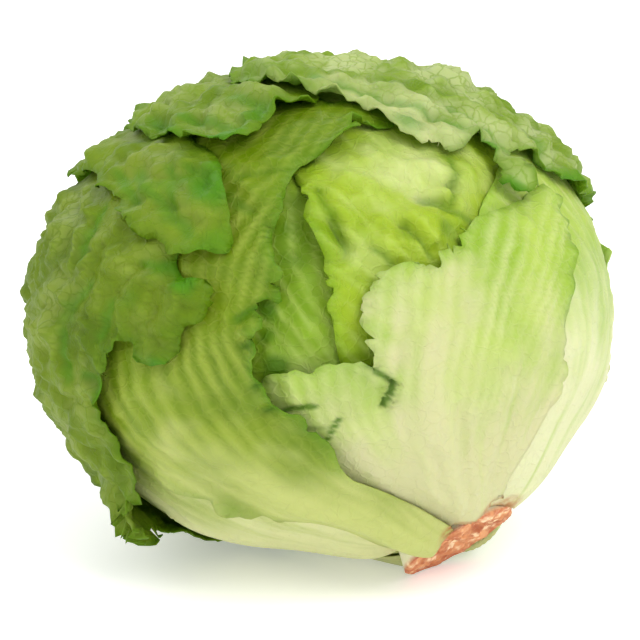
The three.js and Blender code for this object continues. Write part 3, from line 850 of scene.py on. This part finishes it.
class Socket:
    """A node's output that takes part in Python expressions on plain numbers."""

    def __init__(self, paint: Paint, output: bpy.types.NodeSocket) -> None:
        """Wraps an output of a material's node."""
        self.paint = paint
        self.output = output

    def _maths(self, operation: str, *values: Socket | float) -> Socket:
        """A Math node on this output and the values."""
        return self.paint.node("ShaderNodeMath", {"operation": operation}, dict(enumerate(values)))

    def __add__(self, other: Socket | float) -> Socket:
        """self + other"""
        return self._maths("ADD", self, other)

    __radd__ = __add__

    def __sub__(self, other: Socket | float) -> Socket:
        """self - other"""
        return self._maths("SUBTRACT", self, other)

    def __rsub__(self, other: float) -> Socket:
        """other - self"""
        return self._maths("SUBTRACT", other, self)

    def __mul__(self, other: Socket | float) -> Socket:
        """self * other"""
        return self._maths("MULTIPLY", self, other)

    __rmul__ = __mul__

    def ramp(self, start: float, end: float) -> Socket:
        """Rises smoothly from 0 at start to 1 at end, or falls where start is the larger."""
        low, high = min(start, end), max(start, end)
        values = {"Value": self, "From Min": low, "From Max": high}
        rise = self.paint.node("ShaderNodeMapRange", {"interpolation_type": "SMOOTHSTEP"}, values)
        return rise if start < end else 1.0 - rise


class Paint:
    """One material and the nodes in it."""

    def __init__(self, name: str) -> None:
        """Starts an empty material."""
        self.material = bpy.data.materials.new(name)
        self.material.use_nodes = True
        self.tree = self.material.node_tree
        self.tree.nodes.clear()

    def node(self, kind: str, settings: dict, values: dict, output: int | str = 0) -> Socket:
        """Adds a node.

        Args:
            kind: the node's type name.
            settings: its own properties, set first.
            values: numbers, colours or sockets for its inputs, by name or number.
            output: which output is wanted.

        Returns:
            The output, wrapped.
        """
        made = self.tree.nodes.new(kind)
        for key, value in settings.items():
            setattr(made, key, value)
        for key, value in values.items():
            if isinstance(value, Socket):
                self.tree.links.new(value.output, made.inputs[key])
            elif isinstance(value, tuple) and len(value) == 3 and made.inputs[key].type == "RGBA":
                made.inputs[key].default_value = (*value, 1.0)
            else:
                made.inputs[key].default_value = value
        return Socket(self, made.outputs[output] if made.outputs else None)

    def place(self) -> Socket:
        """The object's own coordinates."""
        return self.node("ShaderNodeTexCoord", {}, {}, "Object")

    def mask(self, name: str) -> Socket:
        """A value that the mesh stores a point."""
        return self.node("ShaderNodeAttribute", {"attribute_name": name}, {}, "Fac")

    def clouds(self, at: Socket, scale: float, detail: float = 3.0) -> Socket:
        """Soft noise between 0 and 1."""
        return self.node("ShaderNodeTexNoise", {}, {"Vector": at, "Scale": scale, "Detail": detail}, "Fac")

    def blend(self, share: Socket | float, a: Socket | Colour, b: Socket | Colour) -> Socket:
        """Colour a turning into colour b as share goes from 0 to 1.

        Args:
            share: how far the colour has turned.
            a: the first colour.
            b: the second colour.

        Returns:
            The mixed colour.
        """
        settings = {"data_type": "RGBA", "clamp_factor": True}
        made = self.tree.nodes.new("ShaderNodeMix")
        for key, value in settings.items():
            setattr(made, key, value)
        for slot, value in ((0, share), (6, a), (7, b)):
            if isinstance(value, Socket):
                self.tree.links.new(value.output, made.inputs[slot])
            else:
                made.inputs[slot].default_value = (*value, 1.0) if slot else value
        return Socket(self, made.outputs[2])

    def warp(self, at: Socket, scale: float, amount: float) -> Socket:
        """The coordinates, shaken so that patterns lose their straight lines.

        Args:
            at: the coordinates.
            scale: the shaking's fineness.
            amount: how far it shakes, in metres.

        Returns:
            The shaken coordinates.
        """
        shake = self.node("ShaderNodeTexNoise", {}, {"Vector": at, "Scale": scale, "Detail": 2.0}, "Color")
        moved = self.node("ShaderNodeVectorMath", {"operation": "SUBTRACT"}, {0: shake, 1: (0.5, 0.5, 0.5)})
        moved = self.node("ShaderNodeVectorMath", {"operation": "SCALE"}, {0: moved, "Scale": amount})
        return self.node("ShaderNodeVectorMath", {"operation": "ADD"}, {0: at, 1: moved})

    def bump(self, height: Socket, distance: float, strength: float, under: Socket | None = None) -> Socket:
        """A bumped normal.

        Args:
            height: the relief, from 0 to 1.
            distance: its height in metres.
            strength: how much of it shows.
            under: a normal that it lies on.

        Returns:
            The normal.
        """
        values = {"Height": height, "Distance": distance, "Strength": strength}
        if under is not None:
            values["Normal"] = under
        return self.node("ShaderNodeBump", {}, values)

    def finish(self, shader: Socket) -> bpy.types.Material:
        """Links the shader to the material's output."""
        self.node("ShaderNodeOutputMaterial", {}, {"Surface": shader})
        return self.material


class LeafPaint:
    """The living leaf: blade, veins, cream ribs, bright margins, a waxy bloom that is partly painted sheen,
    and painted shade in pockets and folds.
    """

    network_scale = 260.0
    light_through = 0.28
    shine = 0.2
    dried_cut = "b9763a"

    def __init__(self, finish: LeafFinish) -> None:
        """Keeps the finish."""
        self.finish = finish

    def network(self, paint: Paint, at: Socket) -> Socket:
        """The fine net of veins, 1 on the veins themselves.

        Args:
            paint: the material that the nodes go in.
            at: the coordinates.

        Returns:
            The net's strength.
        """
        shaken = paint.warp(paint.warp(at, 90.0, 0.006), 400.0, 0.002)
        cells = paint.node(
            "ShaderNodeTexVoronoi", {"feature": "DISTANCE_TO_EDGE"},
            {"Vector": shaken, "Scale": self.network_scale}, "Distance",
        )
        return cells.ramp(0.11, 0.0)

    def make(self, name: str) -> bpy.types.Material:
        """Builds the material.

        Args:
            name: the material's name.

        Returns:
            The material.
        """
        look = self.finish
        paint = Paint(name)
        at = paint.place()
        pale = paint.mask("pale")
        vein = paint.mask("vein")
        margin = paint.mask("margin")
        # Painted shade: dark green in pockets under lifted margins and in the grooves of folds.
        deep = paint.mask("deep").ramp(0.1, 0.75)
        cut = paint.mask("cut")
        threads = self.network(paint, at)
        patches = paint.clouds(at, 42.0, 5.0)
        freckles = paint.clouds(paint.warp(at, 60.0, 0.01), 160.0, 4.0)
        colour = paint.blend(patches.ramp(0.35, 0.68), linear(look.blade), linear(look.shade))
        colour = paint.blend(freckles.ramp(0.50, 0.75) * 0.35, colour, linear(look.shade))
        colour = paint.blend(threads * 0.14, colour, linear(look.vein))
        colour = paint.blend(vein * 0.7, colour, linear(look.vein))
        colour = paint.blend(margin * 0.6, colour, linear(look.margin))
        colour = paint.blend(pale * (0.86 + freckles * 0.28), colour, linear(look.rib))
        # Patches of pale grey-green: partly the waxy bloom, partly painted sheen.
        if look.bloom_and_sheen_share:
            bloom_and_sheen_patches = paint.clouds(at, 60.0, 5.0).ramp(0.36, 0.66) * (look.bloom_and_sheen_share * 1.2)
            bloom_and_sheen_patches = bloom_and_sheen_patches * (1.0 - threads * 0.6) * (1.0 - margin * 0.9)
            colour = paint.blend(bloom_and_sheen_patches, colour, linear(look.bloom_and_sheen))
        colour = paint.blend(deep * 0.85, colour, linear(look.deep))
        dried = cut * paint.clouds(at, 300.0, 4.0).ramp(0.25, 0.6)
        colour = paint.blend(dried, colour, linear(self.dried_cut))
        rough = paint.clouds(at, 90.0, 3.0) * 0.24 + (look.roughness - 0.10)
        relief = paint.bump(threads, 0.0003, 0.4)
        relief = paint.bump(paint.clouds(paint.warp(at, 60.0, 0.012), 200.0, 5.0), 0.0016, 0.4, relief)
        skin = paint.node("ShaderNodeBsdfPrincipled", {}, {
            "Base Color": colour, "Roughness": rough, "Normal": relief, "Specular IOR Level": self.shine,
            "Subsurface Weight": 0.12, "Subsurface Radius": (0.5, 1.0, 0.12), "Subsurface Scale": 0.002,
        })
        through = paint.node("ShaderNodeBsdfTranslucent", {}, {"Color": colour, "Normal": relief})
        leaf = paint.node("ShaderNodeMixShader", {}, {0: self.light_through, 1: skin, 2: through})
        return paint.finish(leaf)


class StemPaint:
    """The stem: pale flesh at the side, and a rough cut that has dried orange and brown, with flecks of
    painted highlight.
    """

    orange = "dc9c68"
    brown = "ac6038"
    highlight_flecks = "f2d8ae"
    dry_rim = "b8603a"
    flesh = "efe9cf"
    green_flesh = "dcdcae"

    def make(self, name: str) -> bpy.types.Material:
        """Builds the material.

        Args:
            name: the material's name.

        Returns:
            The material.
        """
        paint = Paint(name)
        at = paint.place()
        cut = paint.mask("cut")
        rim = paint.mask("rim")
        streaks = paint.clouds(paint.warp(at, 200.0, 0.006), 150.0, 5.0)
        dry = paint.blend(streaks.ramp(0.35, 0.65), linear(self.orange), linear(self.brown))
        # Pale flecks on the cut: painted highlights.
        dry = paint.blend(paint.clouds(at, 260.0, 4.0).ramp(0.50, 0.68), dry, linear(self.highlight_flecks))
        rim_stain = rim * paint.clouds(at, 330.0, 3.0).ramp(0.40, 0.65)
        dry = paint.blend(rim_stain, dry, linear(self.dry_rim))
        flesh = paint.blend(paint.clouds(at, 80.0, 3.0), linear(self.flesh), linear(self.green_flesh))
        colour = paint.blend(cut, flesh, dry)
        relief = paint.bump(streaks, 0.0012, 0.8)
        relief = paint.bump(paint.clouds(at, 900.0, 4.0), 0.0006, 0.7, relief)
        skin = paint.node("ShaderNodeBsdfPrincipled", {}, {
            "Base Color": colour, "Roughness": cut * 0.25 + 0.45, "Normal": relief,
            "Subsurface Weight": 0.15, "Subsurface Radius": (1.0, 0.6, 0.3), "Subsurface Scale": 0.002,
        })
        return paint.finish(skin)


@dataclass(frozen=True)
class Bumps:
    """How far apart the bumps of puckered skin lie, in millimetres, and where they start, in degrees."""

    fold: float = 21.0
    crease: float = 15.0
    pillow: float = 9.5
    pucker: float = 4.5
    sharpness: float = 5.0
    start: float = 34.0
    full: float = 70.0


@dataclass
class Foliage:
    """All the leaves and the heart under them, laid over the shared net."""

    layers: Layers = field(default_factory=Layers)
    bumps: Bumps = field(default_factory=Bumps)
    lobe_depth: float = 5.0
    lobe_pitch: float = 26.0
    lobes_start: float = 30.0
    lobes_full: float = 50.0
    lobe_zone: float = 16.0
    tooth_depth: float = 1.5
    tooth_pitch: float = 7.5
    fine_tooth_pitch: float = 3.2
    fine_tooth_share: float = 0.6
    torn_pitch: float = 30.0
    curl_pitch: float = 32.0
    curl_reach: float = 9.0
    ruffle_reach: float = 4.0
    hang: Spot = Spot(-121, 62, 10, 13)
    hang_reach: float = 14.0
    strip_depth: float = 10.0
    strip_pitch: float = 5.5
    strip_sway: float = 2.0
    strip_sway_pitch: float = 12.0
    strip_fill: float = 0.4
    margin_width: float = 4.0
    edge_thickness: float = 0.4
    ground_start: float = 18.0
    ground_end: float = 34.0
    ground_clearance: float = 0.3
    deepest_pucker: float = -0.8
    midrib_inset: float = 8.0
    thin_reach: float = 7.0
    edge_reach: float = 4.0
    edge_rounds: int = 3
    edge_move: float = 1.2
    edge_probe: float = 0.3
    flap_reach: float = 5.0
    petiole_root: float = 11.0
    fan_root: float = 7.0
    fan_slope: float = 0.62
    fan_start: float = 24.0
    sweep_start: float = 50.0
    sweep_run: float = 57.0
    veins_fade: float = 118.0
    veins_end: float = 150.0
    streak_width: float = 5.0
    streak_length: float = 34.0
    patch_border_pitch: float = 12.0
    cut_stain: float = 0.9
    core_hollow: float = 1.0
    core_pitch: float = 60.0
    core_root: float = 30.0

    def __post_init__(self) -> None:
        """Surveys the net once for all leaves."""
        self.outlines = [Outline(plan) for plan in LEAVES]
        self.net = Net()
        self.depths = self.measure(self.net.n)
        self.survey = Survey.of(self.net.n, self.depths, self.layers)

    def measure(self, n: np.ndarray) -> np.ndarray:
        """The depth inside every leaf's ragged edge, one column a leaf."""
        return np.stack([self.bitten(k, n) for k in range(len(LEAVES))], axis=1)

    def bitten(self, k: int, n: np.ndarray) -> np.ndarray:
        """The depth inside leaf k's ragged edge, with lobes and teeth bitten off.

        Args:
            k: the leaf's number, from the inside out.
            n: unit directions, one a row.

        Returns:
            The depths in millimetres, below zero outside.
        """
        depth = self.outlines[k].depth(n)
        near = np.abs(depth) < self.lobe_zone
        edge = n[near]
        bite = self.lobe_depth * (EGG.wave(edge, self.lobe_pitch, 3.0 * k) - 0.5)
        torn = np.clip(0.75 + 1.1 * EGG.ripple(edge, self.torn_pitch, k + 0.9), 0.1, 1.6)
        teeth = EGG.ripple(edge, self.tooth_pitch, k + 0.3)
        teeth += self.fine_tooth_share * EGG.ripple(edge, self.fine_tooth_pitch, k + 0.7)
        bite += self.tooth_depth * torn * teeth
        for notch in LEAVES[k].notches:
            bite += notch.amount * np.exp(-((EGG.away(edge, notch.azimuth, notch.polar) / notch.spread) ** 2))
        if LEAVES[k].hangs:
            away = EGG.away(edge, self.hang.azimuth, self.hang.polar)
            run = np.radians(EGG.azimuth(edge)) * np.sin(np.radians(self.hang.polar)) * EGG.arc
            run += self.strip_sway * EGG.ripple(edge, self.strip_sway_pitch, 9.1)
            waves = np.cos(2.0 * math.pi * run / self.strip_pitch)
            strips = self.strip_fill + (1.0 - self.strip_fill) * waves
            bite += self.strip_depth * strips * np.exp(-((away / self.hang.spread) ** 2))
        depth[near] -= bite * smoothstep(EGG.polar(edge), self.lobes_start, self.lobes_full)
        return depth

    def cut_blade(self, k: int) -> tuple[bpy.types.Object, np.ndarray, np.ndarray]:
        """Cuts leaf k out of the net and draws its open edge onto the outline.

        Args:
            k: the leaf's number, from the inside out.

        Returns:
            The sheet, its directions, and its depths inside every leaf.
        """
        blade = self.net.copy(LEAVES[k].name + "_blade")
        behind = EGG.behind_cut(self.net.n, self.survey.outer[:, k], self.survey.press) > 0.0
        Mesh.keep(blade, (self.depths[:, k] > 0.0) & behind & (EGG.polar(self.net.n) > self.petiole_root))
        Mesh.keep(blade, Mesh.main_island(blade))
        numbers = np.empty(len(blade.data.vertices), dtype=np.int32)
        blade.data.attributes["number"].data.foreach_get("value", numbers)
        n = self.net.n[numbers].copy()
        depths = self.depths[numbers].copy()
        edge = Mesh.border(blade)
        edge = edge[depths[edge, k] < self.edge_reach]
        for _ in range(self.edge_rounds):
            n[edge] = self.towards_outline(k, n[edge])
        depths[edge] = self.measure(n[edge])
        blade.data.attributes.remove(blade.data.attributes["number"])
        return blade, n, depths

    def towards_outline(self, k: int, n: np.ndarray) -> np.ndarray:
        """One step of the given directions down to leaf k's ragged edge.

        Args:
            k: the leaf's number, from the inside out.
            n: unit directions, one a row.

        Returns:
            The moved directions.
        """
        step = self.edge_probe / EGG.arc
        side = unit(np.cross(n, EGG.stem))
        ahead = np.cross(n, side)
        probes = (n, unit(n + side * step), unit(n + ahead * step))
        here, beside, beyond = (self.bitten(k, probe) for probe in probes)
        slope = side * ((beside - here) / step)[:, None] + ahead * ((beyond - here) / step)[:, None]
        steep = np.maximum((slope**2).sum(axis=1, keepdims=True), 0.3 * EGG.arc**2)
        move = slope * here[:, None] / steep
        length = np.linalg.norm(move, axis=1, keepdims=True)
        most = self.edge_move / EGG.arc
        return unit(n - move * np.minimum(1.0, most / np.maximum(length, 1e-9)))

    def rib_line(self, plan: LeafPlan, n: np.ndarray) -> tuple[np.ndarray, np.ndarray]:
        """Millimetres to the right of the midrib, and the share of its run used up.

        Args:
            plan: the leaf's plan.
            n: unit directions, one a row.

        Returns:
            The distances and the shares.
        """
        polar = EGG.polar(n)
        share = np.clip((polar - EGG.leaf_start) / (plan.rib.end - EGG.leaf_start), 0.0, 1.0)
        turn = EGG.azimuth(n) - plan.rib.azimuth - plan.rib.turn * share**2
        turn = (turn + 180.0) % 360.0 - 180.0
        return np.radians(turn) * np.sin(np.radians(polar)) * EGG.arc, share

    def rib_rise(self, plan: LeafPlan, n: np.ndarray) -> np.ndarray:
        """The midrib: a tapering ridge that starts at the stem and fades before the tip.

        Args:
            plan: the leaf's plan.
            n: unit directions, one a row.

        Returns:
            The ridge's height in millimetres.
        """
        off, share = self.rib_line(plan, n)
        half = plan.rib.width * (0.35 + 0.65 * (1.0 - share))
        return plan.rib.height * (1.0 - share) ** 0.8 * np.exp(-0.5 * (off / half) ** 2)

    def vein_ridge(self, plan: LeafPlan, n: np.ndarray) -> np.ndarray:
        """Side veins that fan out from the midrib, between 0 and 1.

        Args:
            plan: the leaf's plan.
            n: unit directions, one a row.

        Returns:
            The veins' strength.
        """
        off, _ = self.rib_line(plan, n)
        polar = EGG.polar(n)
        reach = self.fan_root + self.fan_slope * np.maximum(polar - self.fan_start, 0.0)
        sway = 0.8 * EGG.ripple(n, 60.0, plan.veins + 0.5) + 0.06 * EGG.ripple(n, 14.0, plan.veins + 1.5)
        past = np.maximum(0.0, (polar - self.sweep_start) / self.sweep_run)
        swept = np.radians(plan.sweep * past**2) * EGG.arc
        lane = (off - swept * np.sin(np.radians(polar))) / reach * plan.veins / 3.0 + sway
        spacing = 3.0 * reach / plan.veins
        from_vein = np.abs(lane - np.round(lane)) * spacing
        ridge = np.exp(-((from_vein / plan.vein_width) ** 2))
        keep = 0.35 + 0.65 * np.clip(EGG.ripple(n, 22.0, plan.veins + 2.5) + 0.55, 0.0, 1.0)
        return ridge * keep * fade(polar, self.veins_fade, self.veins_end)

    def edge_rise(self, k: int, n: np.ndarray, depth: np.ndarray) -> np.ndarray:
        """How far free edges curl, ruffle and fold out.

        Args:
            k: the leaf's number, from the inside out.
            n: unit directions, one a row.
            depth: millimetres inside the ragged edge.

        Returns:
            The rise in millimetres.
        """
        plan = LEAVES[k]
        inside = np.maximum(depth, 0.0)
        waves = 1.6 * EGG.wave(n, self.curl_pitch, plan.rib.azimuth) ** 1.5
        rise = plan.curl * waves * np.exp(-inside / self.curl_reach)
        frill = np.maximum(0.0, 0.15 + EGG.ripple(n, 9.0, k + 0.1))
        frill *= 1.6 * np.clip(0.4 + 1.6 * EGG.ripple(n, 34.0, k + 1.1), 0.0, 1.4)
        rise += plan.ruffle * frill * np.exp(-inside / self.ruffle_reach)
        for flap in plan.flaps:
            away = EGG.away(n, flap.azimuth, flap.polar)
            rise += flap.amount * np.exp(-((away / flap.spread) ** 2)) * np.exp(-inside / self.flap_reach)
        if plan.hangs:
            away = EGG.away(n, self.hang.azimuth, self.hang.polar)
            hang = self.hang.amount * np.exp(-((away / self.hang.spread) ** 2))
            rise += hang * np.exp(-inside / self.hang_reach)
        return rise * smoothstep(EGG.polar(n), 26.0, 44.0)

    def streaks(self, plan: LeafPlan, n: np.ndarray) -> np.ndarray:
        """Noise drawn out along the leaf, between about -1 and 1.

        Args:
            plan: the leaf's plan.
            n: unit directions, one a row.

        Returns:
            The noise.
        """
        off, _ = self.rib_line(plan, n)
        polar = EGG.polar(n)
        turn = np.degrees(off / (EGG.arc * np.maximum(np.sin(np.radians(polar)), 0.15)))
        seed = np.full(len(n), 3.7 * plan.veins)
        places = np.stack([turn / self.streak_width, polar / self.streak_length, seed], axis=1)
        spots = [Vector(p) for p in places.tolist()]
        return np.array([noise.noise(p) + 0.6 * noise.noise(p * 2.3) for p in spots])

    def spots(self, places: tuple[Spot, ...], n: np.ndarray, k: int) -> np.ndarray:
        """Soft patches with uneven borders, by the strongest place in reach.

        Args:
            places: where the patches lie.
            n: unit directions, one a row.
            k: the leaf's number, from the inside out.

        Returns:
            The patches' strength.
        """
        strength = np.zeros(len(n))
        border = 1.0 + 0.5 * EGG.ripple(n, self.patch_border_pitch, k + 3.3)
        for place in places:
            away = EGG.away(n, place.azimuth, place.polar) / place.spread
            strength = np.maximum(strength, place.amount * np.exp(-((away * border) ** 2)))
        return strength

    def blisters(self, plan: LeafPlan, k: int, n: np.ndarray) -> np.ndarray:
        """Puckered skin: soft pillows with creases between them, and broad folds.

        Args:
            plan: the leaf's plan.
            k: the leaf's number, from the inside out.
            n: unit directions, one a row.

        Returns:
            The rise in millimetres.
        """
        bumps = self.bumps
        wide = np.abs(EGG.ripple(n, bumps.fold, k + 4.2))
        small = np.abs(EGG.ripple(n, bumps.pillow, k + 5.2))
        crease = 1.0 - np.clip(np.abs(EGG.ripple(n, bumps.crease, k + 7.2)) * bumps.sharpness, 0.0, 1.0)
        fine = EGG.ripple(n, bumps.pucker, k + 6.2)
        pillow = 1.2 * wide + 0.7 * small + 0.14 * fine + 0.16 * crease - 0.28
        return plan.blister * pillow * smoothstep(EGG.polar(n), bumps.start, bumps.full)

    def leaf(self, k: int) -> bpy.types.Object:
        """Args:
            k: the leaf's number, from the inside out.

        Returns:
            The finished piece.
        """
        plan = LEAVES[k]
        blade, n, depths = self.cut_blade(k)
        survey = Survey.of(n, depths, self.layers)
        depth = depths[:, k]
        polar = EGG.polar(n)
        down = EGG.place(n, survey.outer[:, k], survey.press)[:, 2]
        from_ground = np.degrees(np.arccos(np.clip(-n[:, 2], -1.0, 1.0)))
        grounded = fade(from_ground, self.ground_start, self.ground_end)
        free = survey.shown[:, k] * (1.0 - grounded)
        veins = self.vein_ridge(plan, n)
        rise = self.edge_rise(k, n, depth) + np.maximum(self.blisters(plan, k, n), self.deepest_pucker)
        midrib = self.rib_rise(plan, n) * smoothstep(depth, 0.0, self.midrib_inset)
        rise += midrib + plan.vein_rise * veins
        # Painted shade in pockets under flaps and notches, and along the grooves of folds.
        deep = self.spots(plan.painted_shade_spots, n, k)
        for crease in plan.creases:
            fold, groove_shade = crease.press(n)
            rise += fold
            deep = np.maximum(deep, groove_shade)
        level = survey.outer[:, k] + free * rise
        points = EGG.place(n, level, survey.press)
        points[:, 2] = np.maximum(points[:, 2], np.minimum(down, self.ground_clearance))
        Mesh.write(blade, points * MM)
        off, share = self.rib_line(plan, n)
        cream = np.exp(-((off / (plan.rib.width * (1.2 - 0.6 * share))) ** 2)) * fade(share, 0.35, 1.0)
        reach = polar + 8.0 * EGG.ripple(n, 22.0, k + 8.0)
        base = fade(reach, 0.35 * plan.finish.pale_end, plan.finish.pale_end)
        base = np.maximum(base, self.spots(plan.pale_spots, n, k))
        base = np.clip(base * (1.0 + 0.7 * self.streaks(plan, n)), 0.0, 1.0)
        pale = 1.0 - (1.0 - base) * (1.0 - cream * plan.finish.rib_pale)
        Mesh.paint(blade, "pale", np.clip(pale, 0.0, 1.0))
        Mesh.paint(blade, "vein", veins)
        margin = np.exp(-np.maximum(depth, 0.0) / self.margin_width) * smoothstep(polar, 34.0, 56.0)
        Mesh.paint(blade, "margin", margin)
        # Stores the painted shade for the material.
        Mesh.paint(blade, "deep", deep)
        behind = EGG.behind_cut(n, survey.outer[:, k], survey.press)
        Mesh.paint(blade, "cut", fade(behind, 0.0, self.cut_stain))
        thickness = self.layers.taper(n, self.layers.petiole, self.layers.blade)
        full = smoothstep(depth, 0.0, self.thin_reach)
        thin = self.edge_thickness + (thickness - self.edge_thickness) * full
        self.thicken(blade, thin)
        blade.data.materials.clear()
        blade.data.materials.append(LeafPaint(plan.finish).make(plan.name + "_skin"))
        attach(blade, "root")
        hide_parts(plan.name)
        return blade

    def thicken(self, blade: bpy.types.Object, thickness: np.ndarray) -> None:
        """Gives the sheet its thickness, inwards from the outer skin, in millimetres.

        Args:
            blade: the sheet.
            thickness: millimetres, one value a point.
        """
        most = float(thickness.max())
        group = blade.vertex_groups.new(name="thickness")
        shares = np.round(thickness / most, 2)
        for share in np.unique(shares):
            group.add(np.flatnonzero(shares == share).tolist(), float(share), "REPLACE")
        Mesh.only(blade)
        wall = blade.modifiers.new("wall", "SOLIDIFY")
        wall.thickness = most * MM
        wall.offset = -1.0
        wall.vertex_group = group.name
        bpy.ops.object.modifier_apply(modifier=wall.name)
        blade.vertex_groups.clear()
        bpy.ops.object.shade_smooth()

    def heart(self) -> bpy.types.Object:
        """The closed core under all the leaves."""
        core = self.net.copy("heart_core")
        n = self.net.n
        polar = EGG.polar(n)
        hollows = self.core_hollow * EGG.wave(n, self.core_pitch, 4.1)
        level = self.survey.core - self.core_hollow - hollows
        level = level * smoothstep(polar, 6.0, 12.0) - self.core_root * fade(polar, 6.0, 12.0)
        Mesh.write(core, EGG.place(n, level, self.survey.press) * MM)
        Mesh.paint(core, "pale", fade(polar, 40.0, 90.0))
        # The heart carries no veins, margins, painted shade or cut.
        for name in ("vein", "margin", "deep", "cut"):
            Mesh.paint(core, name, 0.0 * polar)
        core.data.materials.clear()
        core.data.materials.append(LeafPaint(PALE).make("heart_skin"))
        Mesh.only(core)
        bpy.ops.object.shade_smooth()
        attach(core, "root")
        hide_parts("heart")
        return core


@dataclass
class Stem:
    """The cut stem, with a rough, slightly hollow face."""

    sides: int = 180
    rings: int = 90
    face_share: float = 0.5
    root: float = 0.6
    hollow: float = 1.3
    roughness: tuple[tuple[float, float, float], ...] = ((0.9, 7.0, 1.0), (0.5, 3.0, 3.0), (0.35, 1.6, 6.0))

    def build(self) -> bpy.types.Object:
        bpy.ops.object.select_all(action="DESELECT")
        bpy.ops.mesh.primitive_uv_sphere_add(segments=self.sides, ring_count=self.rings, radius=1.0)
        plug = bpy.context.object
        plug.name = "stem_plug"
        points = Mesh.read(plug)
        turn = np.degrees(np.arctan2(-points[:, 1], points[:, 0]))
        run = np.arccos(np.clip(unit(points)[:, 2], -1.0, 1.0)) / math.pi
        out = np.clip(run / self.face_share, 0.0, 1.0)
        back = np.clip((run - self.face_share) / (1.0 - self.face_share), 0.0, 1.0)
        edge = EGG.direction(turn, np.full(len(turn), EGG.stem_angle))
        angle = EGG.stem_angle * (1.0 + 0.05 * EGG.ripple(edge, 9.0, 2.0))
        n = EGG.direction(turn, np.where(back > 0.0, angle - 0.8 * back, angle * out))
        n = np.where((back > 0.98)[:, None], EGG.stem, n)
        ray = n * np.array(EGG.radii)
        rough = np.zeros(len(n))
        for height, pitch, seed in self.roughness:
            rough += height * EGG.ripple(n, pitch, seed)
        sink = self.hollow * (1.0 - out**2) + 0.7 * out**12
        reach = (EGG.stem_length - sink + rough * (1.0 - out**20)) / (ray @ EGG.stem_axis)
        reach = np.where(back > 0.0, reach + (self.root - reach) * back, reach)
        Mesh.write(plug, (ray * reach[:, None] + np.array(EGG.middle)) * MM)
        Mesh.paint(plug, "cut", fade(back, 0.0, 0.05))
        Mesh.paint(plug, "rim", smoothstep(out, 0.7, 1.0))
        plug.data.materials.clear()
        plug.data.materials.append(StemPaint().make("stem_flesh"))
        bpy.ops.object.shade_smooth()
        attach(plug, "root")
        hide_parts("stem")
        return plug


class Lamp(Enum):
    """The soft lamps: place in metres, size in metres and power in watts."""

    KEY = ((0.9, -0.9, 1.5), 1.3, 24.0)
    FILL = ((-1.4, -0.9, 0.9), 1.6, 9.0)
    BACK = ((-0.9, 1.3, 1.3), 1.6, 12.0)


@dataclass
class Studio:
    """The camera at the photo's angle, soft lamps and a pale floor."""

    elevation: float = 16.0
    distance: float = 1.0
    focal_px: float = 3370.0
    frame_px: float = 640.0
    head_px: tuple[float, float] = (318.0, 306.0)
    sensor: float = 36.0
    floor_size: float = 12.0
    floor_glow: float = 0.3
    world_light: float = 0.85

    def camera(self) -> None:
        """Adds the camera."""
        tilt = math.radians(self.elevation)
        ahead = Vector((0.0, math.cos(tilt), -math.sin(tilt)))
        down = Vector((0.0, -math.sin(tilt), -math.cos(tilt)))
        middle = self.frame_px / 2.0
        metres = self.distance / self.focal_px
        place = Vector(EGG.middle) * MM - ahead * self.distance
        place += Vector(((middle - self.head_px[0]) * metres, 0.0, 0.0))
        place += down * ((middle - self.head_px[1]) * metres)
        bpy.ops.object.camera_add(location=place, rotation=(math.radians(90.0) - tilt, 0.0, 0.0))
        camera = bpy.context.object
        camera.data.sensor_width = self.sensor
        camera.data.lens = self.sensor * self.focal_px / self.frame_px
        camera.data.clip_start = 0.05
        camera.data.clip_end = 50.0
        bpy.context.scene.camera = camera

    def lamps(self) -> None:
        """Adds the lamps and the sky's even light."""
        for lamp in Lamp:
            place, size, power = lamp.value
            aim = (Vector(EGG.middle) * MM - Vector(place)).to_track_quat("-Z", "Y")
            bpy.ops.object.light_add(type="AREA", location=place, rotation=aim.to_euler())
            light = bpy.context.object
            light.name = lamp.name.lower() + "_lamp"
            light.data.size = size
            light.data.energy = power
        world = bpy.data.worlds.new("studio")
        world.use_nodes = True
        sky = world.node_tree.nodes["Background"]
        sky.inputs["Color"].default_value = (1.0, 1.0, 1.0, 1.0)
        sky.inputs["Strength"].default_value = self.world_light
        bpy.context.scene.world = world
        bpy.context.scene.view_settings.view_transform = "Standard"

    def floor(self) -> None:
        """Adds the pale floor."""
        bpy.ops.mesh.primitive_plane_add(size=self.floor_size)
        ground = bpy.context.object
        ground.name = "floor"
        paint = Paint("floor_paint")
        skin = paint.node("ShaderNodeBsdfPrincipled", {}, {
            "Base Color": (0.9, 0.9, 0.9), "Roughness": 0.6,
            "Emission Color": (1.0, 1.0, 1.0), "Emission Strength": self.floor_glow,
        })
        ground.data.materials.append(paint.finish(skin))


def main() -> None:
    """Builds the studio, the stem and the foliage."""
    logging.basicConfig(level=logging.INFO, format="%(message)s")
    studio = Studio()
    studio.camera()
    studio.lamps()
    studio.floor()
    LOG.info("stem: %s", Stem().build().name)
    foliage = Foliage()
    LOG.info("heart: %s", foliage.heart().name)
    total = 0
    for k in range(len(LEAVES)):
        leaf = foliage.leaf(k)
        faces = len(leaf.data.polygons)
        total += faces
        LOG.info("leaf: %s, %d faces", leaf.name, faces)
    foliage.net.remove()
    LOG.info("leaf faces in all: %d", total)


if __name__ == "__main__":
    main()
